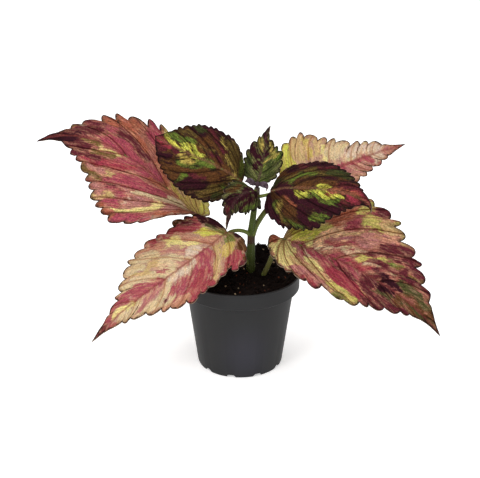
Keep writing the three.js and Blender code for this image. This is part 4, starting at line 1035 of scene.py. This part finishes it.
def pot_piece():
    """The pot's section, spun about its axis, with the slots cut through its foot."""
    p = POT
    band_foot = p["height"] - p["rim_height"]
    shoulder_foot = band_foot - p["shoulder_height"]
    outer, inner = p["rim_radius"] - p["lip"], p["rim_radius"] - p["lip"] - p["wall"]
    # the edges are eased by tenths of a millimetre, as the mould leaves them
    section = (
        (0, 0), (p["foot_radius"] - p["foot_round"], 0), (p["foot_radius"] - 0.45, 0.4),
        (p["foot_radius"], p["foot_round"]), (p["body_top_radius"], shoulder_foot), (outer - 0.15, band_foot - 0.1),
        (outer, band_foot + 0.1), (outer, p["height"] - p["lip_height"]),
        (p["rim_radius"] - 0.1, p["height"] - p["lip_height"] + 0.35), (p["rim_radius"], p["height"] - 0.6),
        (p["rim_radius"] - 0.25, p["height"] - 0.1), (p["rim_radius"] - 0.6, p["height"]),
        (inner + 0.25, p["height"]), (inner, p["height"] - 0.25), (inner, band_foot + p["wall"] / 2),
        (p["body_top_radius"] - p["wall"], shoulder_foot + p["wall"] / 2),
        (p["foot_radius"] - p["wall"], p["floor"]), (0, p["floor"]),
    )
    turn = np.linspace(0, 2 * np.pi, p["segments"] + 1)
    places = np.array([[(r * math.cos(a), r * math.sin(a), z) for r, z in section] for a in turn])
    piece = sheet("pot_shell", places)
    edit_all(piece, lambda: bpy.ops.mesh.remove_doubles(threshold=WELD),
             lambda: bpy.ops.mesh.normals_make_consistent(inside=False))
    cutters = []
    for slot in range(DRAINS["count"]):
        angle = math.radians(DRAINS["first_angle"] + slot * 360 / DRAINS["count"])
        deselect()
        bpy.ops.mesh.primitive_cylinder_add(vertices=40, radius=1, depth=DRAINS["reach"] * MM,
                                            rotation=(math.pi / 2, 0, 0),
                                            location=(0, (DRAINS["reach"] / 2 - DRAINS["outside"]
                                                          - p["foot_radius"]) * MM, 0))
        cutter = bpy.context.object
        cutter.scale = (DRAINS["width"] / 2 * MM, DRAINS["height"] * MM, 1)
        bpy.ops.object.transform_apply(location=True, rotation=True, scale=True)
        cutter.rotation_euler = (0, 0, angle)
        bpy.ops.object.transform_apply(location=True, rotation=True, scale=True)
        cutters.append(cutter)
    cutter = join(*cutters)
    apply(piece, "BOOLEAN", object=cutter, operation="DIFFERENCE", solver="EXACT")
    bpy.data.objects.remove(cutter)
    smooth(piece, 35)
    return piece


# painted reflection: a lighter bluish patch painted low on the pot's front in place of its satin skin's reflection;
# where it sits and how far it spreads
PAINTED_REFLECTION = dict(place=(0.006, -0.042, 0.022), spread=(0.034, 0.03, 0.044))  # metres


def pot_material():
    """Injection-moulded polypropylene, black with recycled grey: a satin skin, and a painted bluish reflection low in
    front.
    """
    made, tree = new_material("pot_polypropylene")
    place = node(tree, "TexCoord").outputs["Object"]
    drawn = node(tree, "Mapping", {"Vector": place, "Scale": (25.0, 25.0, 12.0)})
    cloud = node(tree, "TexNoise", {"Vector": drawn, "Scale": 1.0, "Detail": 3.0})
    colour = node(tree, "Mix", {0: cloud, MIX_A: linear("141415"), MIX_B: linear("1b1b1c")}, data_type="RGBA")
    # painted reflection: the colour lightens to a bluish grey towards a spot low on the front
    low = node(tree, "Mapping", {"Vector": place, "Location": PAINTED_REFLECTION["place"], "Scale": PAINTED_REFLECTION["spread"]},
               vector_type="TEXTURE")
    away = node(tree, "VectorMath", {0: low}, operation="LENGTH").outputs["Value"]
    painted_reflection = node(tree, "MapRange", {"Value": away, "From Min": 1.0, "From Max": 0.0, "To Max": 0.9},
                 interpolation_type="SMOOTHSTEP")
    colour = node(tree, "Mix", {0: painted_reflection, MIX_A: colour, MIX_B: linear("26252e")}, data_type="RGBA")
    grain = node(tree, "TexNoise", {"Vector": place, "Scale": 1400.0, "Detail": 3.0})
    shader = node(tree, "BsdfPrincipled", {
        "Base Color": colour, "IOR": 1.49, "Specular IOR Level": 0.3,
        "Roughness": node(tree, "MapRange", {"Value": cloud, "To Min": 0.55, "To Max": 0.68}),
        "Normal": node(tree, "Bump", {"Strength": 0.15, "Distance": 0.0002, "Height": grain}),
    })
    node(tree, "OutputMaterial", {"Surface": shader})
    return made


pot = pot_piece()
pot.data.materials.append(pot_material())
finish(pot, "pot", "pot")

# ---------------------------------------------------------------- soil

# The peat's height at the rim, how far its middle, its mound and its rolls stand above that, and its gap to
# the pot. edge: share of the radius over which the mound falls to the rim; rolls: radians to a millimetre;
# grain: heights and sizes of the roughness, which fades out over the rim's millimetres.
SOIL = dict(level=84, crown=1.5, mound=dict(x=20, y=33, height=11, spread=15, edge=0.2), lump=0.9, gap=0.35,
            rolls=((0.31, 0.17), (0.29, 0.11)), grain=((0.9, 5.0), (0.7, 2.2), (0.3, 1.1)), rim=1.5,
            rings=110, segments=220)
# What lies loose on it: how many crumbs and fibres, with the coarse heap on the mound; how far out they reach,
# as shares of the radius; how many kinds of lump and of fibre they are copies of, and how gnarled those are;
# their sizes in millimetres, how far these are stretched, how far bits stand up, and their angles in radians.
CRUMBS = dict(crumbs=600, fibres=260, heap=90, heap_spread=6.5, heap_size=1.35, heap_reach=0.93, reach=0.97,
              lumps=5, stalks=3, gnarl=0.5, gnarl_size=1.4, sizes=(0.5, 0.7, 0.9, 1.2, 1.8), size_spread=(0.7, 1.2),
              fibre_size=(0.5, 1.1), stretch=(0.6, 1.3), rise=0.3, fibre_rise=0.8, tilt=0.9, turn=6.28, seed=11)
SOIL_RADIUS = POT["rim_radius"] - POT["lip"] - POT["wall"] - SOIL["gap"]


def soil_height(x, y):
    """Height of the peat at a place: a low crown, a mound at the back, and lumps."""
    mound = SOIL["mound"]
    inward = 1 - np.hypot(x, y) / SOIL_RADIUS
    hill = mound["height"] * np.exp(-((x - mound["x"]) ** 2 + (y - mound["y"]) ** 2) / mound["spread"] ** 2)
    (a, b), (c, d) = SOIL["rolls"]
    rolling = SOIL["lump"] * np.sin(x * a + y * b) * np.cos(y * c - x * d)
    return SOIL["level"] + SOIL["crown"] * inward + hill * smoothstep(0, mound["edge"], inward) + rolling


def soil_piece():
    """The peat: a crumbly top on a plain plug; its loose crumbs and fibres come from crumbs()."""
    turn = np.linspace(0, 2 * np.pi, SOIL["segments"] + 1)
    reach = np.linspace(0, SOIL_RADIUS, SOIL["rings"])
    radius, angle = np.meshgrid(reach, turn)
    x, y = radius * np.cos(angle), radius * np.sin(angle)
    z = soil_height(x, y)
    spots = np.stack([x, y, z], axis=-1)
    rough = sum(height * lumps(spots, size) for height, size in SOIL["grain"])
    top = np.stack([x, y, z + rough * smoothstep(0, SOIL["rim"], SOIL_RADIUS - radius)], axis=-1)
    band_foot = POT["height"] - POT["rim_height"]
    section = ((SOIL_RADIUS, band_foot + POT["wall"]),
               (POT["body_top_radius"] - POT["wall"] - SOIL["gap"], band_foot - POT["shoulder_height"] + 0.5),
               (POT["foot_radius"] - POT["wall"] - SOIL["gap"], POT["floor"] + SOIL["gap"]),
               (0, POT["floor"] + SOIL["gap"]))
    rest = np.array([[(r * math.cos(a), r * math.sin(a), z) for r, z in section] for a in turn])
    piece = sheet("soil_peat", np.concatenate([top, rest], axis=1))
    edit_all(piece, lambda: bpy.ops.mesh.remove_doubles(threshold=WELD),
             lambda: bpy.ops.mesh.normals_make_consistent(inside=False))
    smooth(piece, 60)
    return piece


def crumbs(made):
    """Loose crumbs and fibres of peat, of a few shapes, scattered over the top."""
    c = CRUMBS
    random.seed(c["seed"])
    shapes = []
    for shape in range(c["lumps"] + c["stalks"]):
        deselect()
        if shape < c["lumps"]:
            bpy.ops.mesh.primitive_ico_sphere_add(subdivisions=1, radius=1)
        else:
            bpy.ops.mesh.primitive_cone_add(vertices=5, radius1=0.35, radius2=0.12, depth=4)
        lump = bpy.context.object
        for vertex in lump.data.vertices:
            apart = Vector((7.0 * shape, 0, 0))
            vertex.co *= 1 + c["gnarl"] * noise.noise(vertex.co * c["gnarl_size"] + apart)
        shapes.append(lump)
    scattered = []
    for index in range(c["crumbs"] + c["fibres"] + c["heap"]):
        reach = SOIL_RADIUS * math.sqrt(random.random()) * c["reach"]
        angle = random.uniform(0, 2 * math.pi)
        x, y = reach * math.cos(angle), reach * math.sin(angle)
        fibre = index >= c["crumbs"]
        heaped = index >= c["crumbs"] + c["fibres"]
        if fibre:
            size = random.uniform(*c["fibre_size"])
            tilt = (random.gauss(0, c["tilt"]), random.gauss(0, c["tilt"]), random.uniform(0, c["turn"]))
        else:
            size = random.choice(c["sizes"]) * random.uniform(*c["size_spread"])
            tilt = [random.uniform(0, c["turn"]) for _ in range(3)]
        if heaped:  # coarse bits that stand up over the mound
            x, y = (SOIL["mound"][key] + random.gauss(0, c["heap_spread"]) for key in ("x", "y"))
            inside = min(1, c["heap_reach"] * SOIL_RADIUS / math.hypot(x, y))
            x, y, size = x * inside, y * inside, size * c["heap_size"]
        crumb = random.choice(shapes[c["lumps"]:] if fibre else shapes[:c["lumps"]]).copy()
        crumb.data = crumb.data.copy()
        bpy.context.collection.objects.link(crumb)
        rise = (c["fibre_rise"] if fibre else c["rise"]) * size
        crumb.location = Vector((x, y, float(soil_height(x, y)) + rise)) * MM
        crumb.scale = [size * random.uniform(*c["stretch"]) * MM for _ in range(3)]
        crumb.rotation_euler = tilt
        scattered.append(crumb)
    for lump in shapes:
        bpy.data.objects.remove(lump)
    whole = join(*scattered)
    bpy.ops.object.transform_apply(location=True, rotation=True, scale=True)
    whole.data.materials.clear()
    whole.data.materials.append(made)
    smooth(whole, 30)
    return whole


def peat_material():
    """Damp peat: near-black brown crumbs with a few pale and reddish fibres, matt."""
    made, tree = new_material("peat_damp")
    place = node(tree, "TexCoord").outputs["Object"]
    clods = node(tree, "TexNoise", {"Vector": place, "Scale": 260.0, "Detail": 5.0, "Roughness": 0.7})
    colour = node(tree, "Mix", {0: clods, MIX_A: linear("060302"), MIX_B: linear("150a06")}, data_type="RGBA")
    specks = node(tree, "TexVoronoi", {"Vector": place, "Scale": 330.0})
    pick = node(tree, "SeparateColor", {0: specks.outputs["Color"]})
    small = node(tree, "MapRange", {"Value": specks.outputs["Distance"], "From Min": 0.4, "From Max": 0.15},
                 interpolation_type="SMOOTHSTEP")
    for channel, least, shade in ((0, 0.93, "5a2f1e"), (1, 0.97, "a08c70")):
        chosen = node(tree, "Math", {0: pick.outputs[channel], 1: least}, operation="GREATER_THAN")
        mask = node(tree, "Math", {0: chosen, 1: small}, operation="MULTIPLY")
        colour = node(tree, "Mix", {0: mask, MIX_A: colour, MIX_B: linear(shade)}, data_type="RGBA")
    shader = node(tree, "BsdfPrincipled", {
        "Base Color": colour, "Roughness": 0.9, "IOR": 1.4, "Specular IOR Level": 0.15,
        "Normal": node(tree, "Bump", {"Strength": 0.6, "Distance": 0.0006, "Height": clods}),
    })
    node(tree, "OutputMaterial", {"Surface": shader})
    return made


peat = peat_material()
soil = soil_piece()
soil.data.materials.append(peat)
soil = join(soil, crumbs(peat))
finish(soil, "soil", "soil")

# ---------------------------------------------------------------- floor, light and camera

deselect()
bpy.ops.mesh.primitive_plane_add(size=60)
floor = bpy.context.object
floor.name = "floor"
# matt white paper with a faint glow of its own, so that it stays plain and pale
paper, paper_tree = new_material("studio_paper")
node(paper_tree, "OutputMaterial", {"Surface": node(paper_tree, "BsdfPrincipled", {
    "Base Color": linear("f8f8f8"), "Roughness": 0.9,
    "Emission Color": linear("ffffff"), "Emission Strength": 0.42})})
floor.data.materials.append(paper)


def softbox(name, place, aim, size, watts):
    """A square lamp of that size in metres, turned to what it lights."""
    deselect()
    bpy.ops.object.light_add(type="AREA", location=place)
    lamp = bpy.context.object
    lamp.name = name
    lamp.data.size = size
    lamp.data.energy = watts
    lamp.rotation_euler = (Vector(aim) - Vector(place)).to_track_quat("-Z", "Y").to_euler()


PLANT_MIDDLE = (0, 0, 0.12)
softbox("ceiling", (-0.3, -0.4, 2.6), (0, 0, 0), 5.0, 120)
softbox("key", (-0.9, -1.2, 1.3), PLANT_MIDDLE, 0.6, 9)
softbox("front", (0.5, -1.6, 0.35), PLANT_MIDDLE, 0.8, 4)

world = bpy.data.worlds.new("studio")
bpy.context.scene.world = world
world.use_nodes = True
world.node_tree.nodes["Background"].inputs["Color"].default_value = linear("ffffff")
world.node_tree.nodes["Background"].inputs["Strength"].default_value = 0.32

VIEWPOINT = Vector((0, -0.8318, 0.4591))
AIM = Vector((0, 0, 0.1154))
FOCAL_PIXELS, PICTURE_WIDTH, SENSOR = 1045, 480, 36
camera_data = bpy.data.cameras.new("camera")
camera = bpy.data.objects.new("camera", camera_data)
bpy.context.collection.objects.link(camera)
camera.location = VIEWPOINT
camera.rotation_euler = (AIM - VIEWPOINT).to_track_quat("-Z", "Y").to_euler()
camera_data.sensor_width = SENSOR
camera_data.lens = SENSOR * FOCAL_PIXELS / PICTURE_WIDTH
bpy.context.scene.camera = camera
bpy.context.scene.view_settings.view_transform = "Standard"
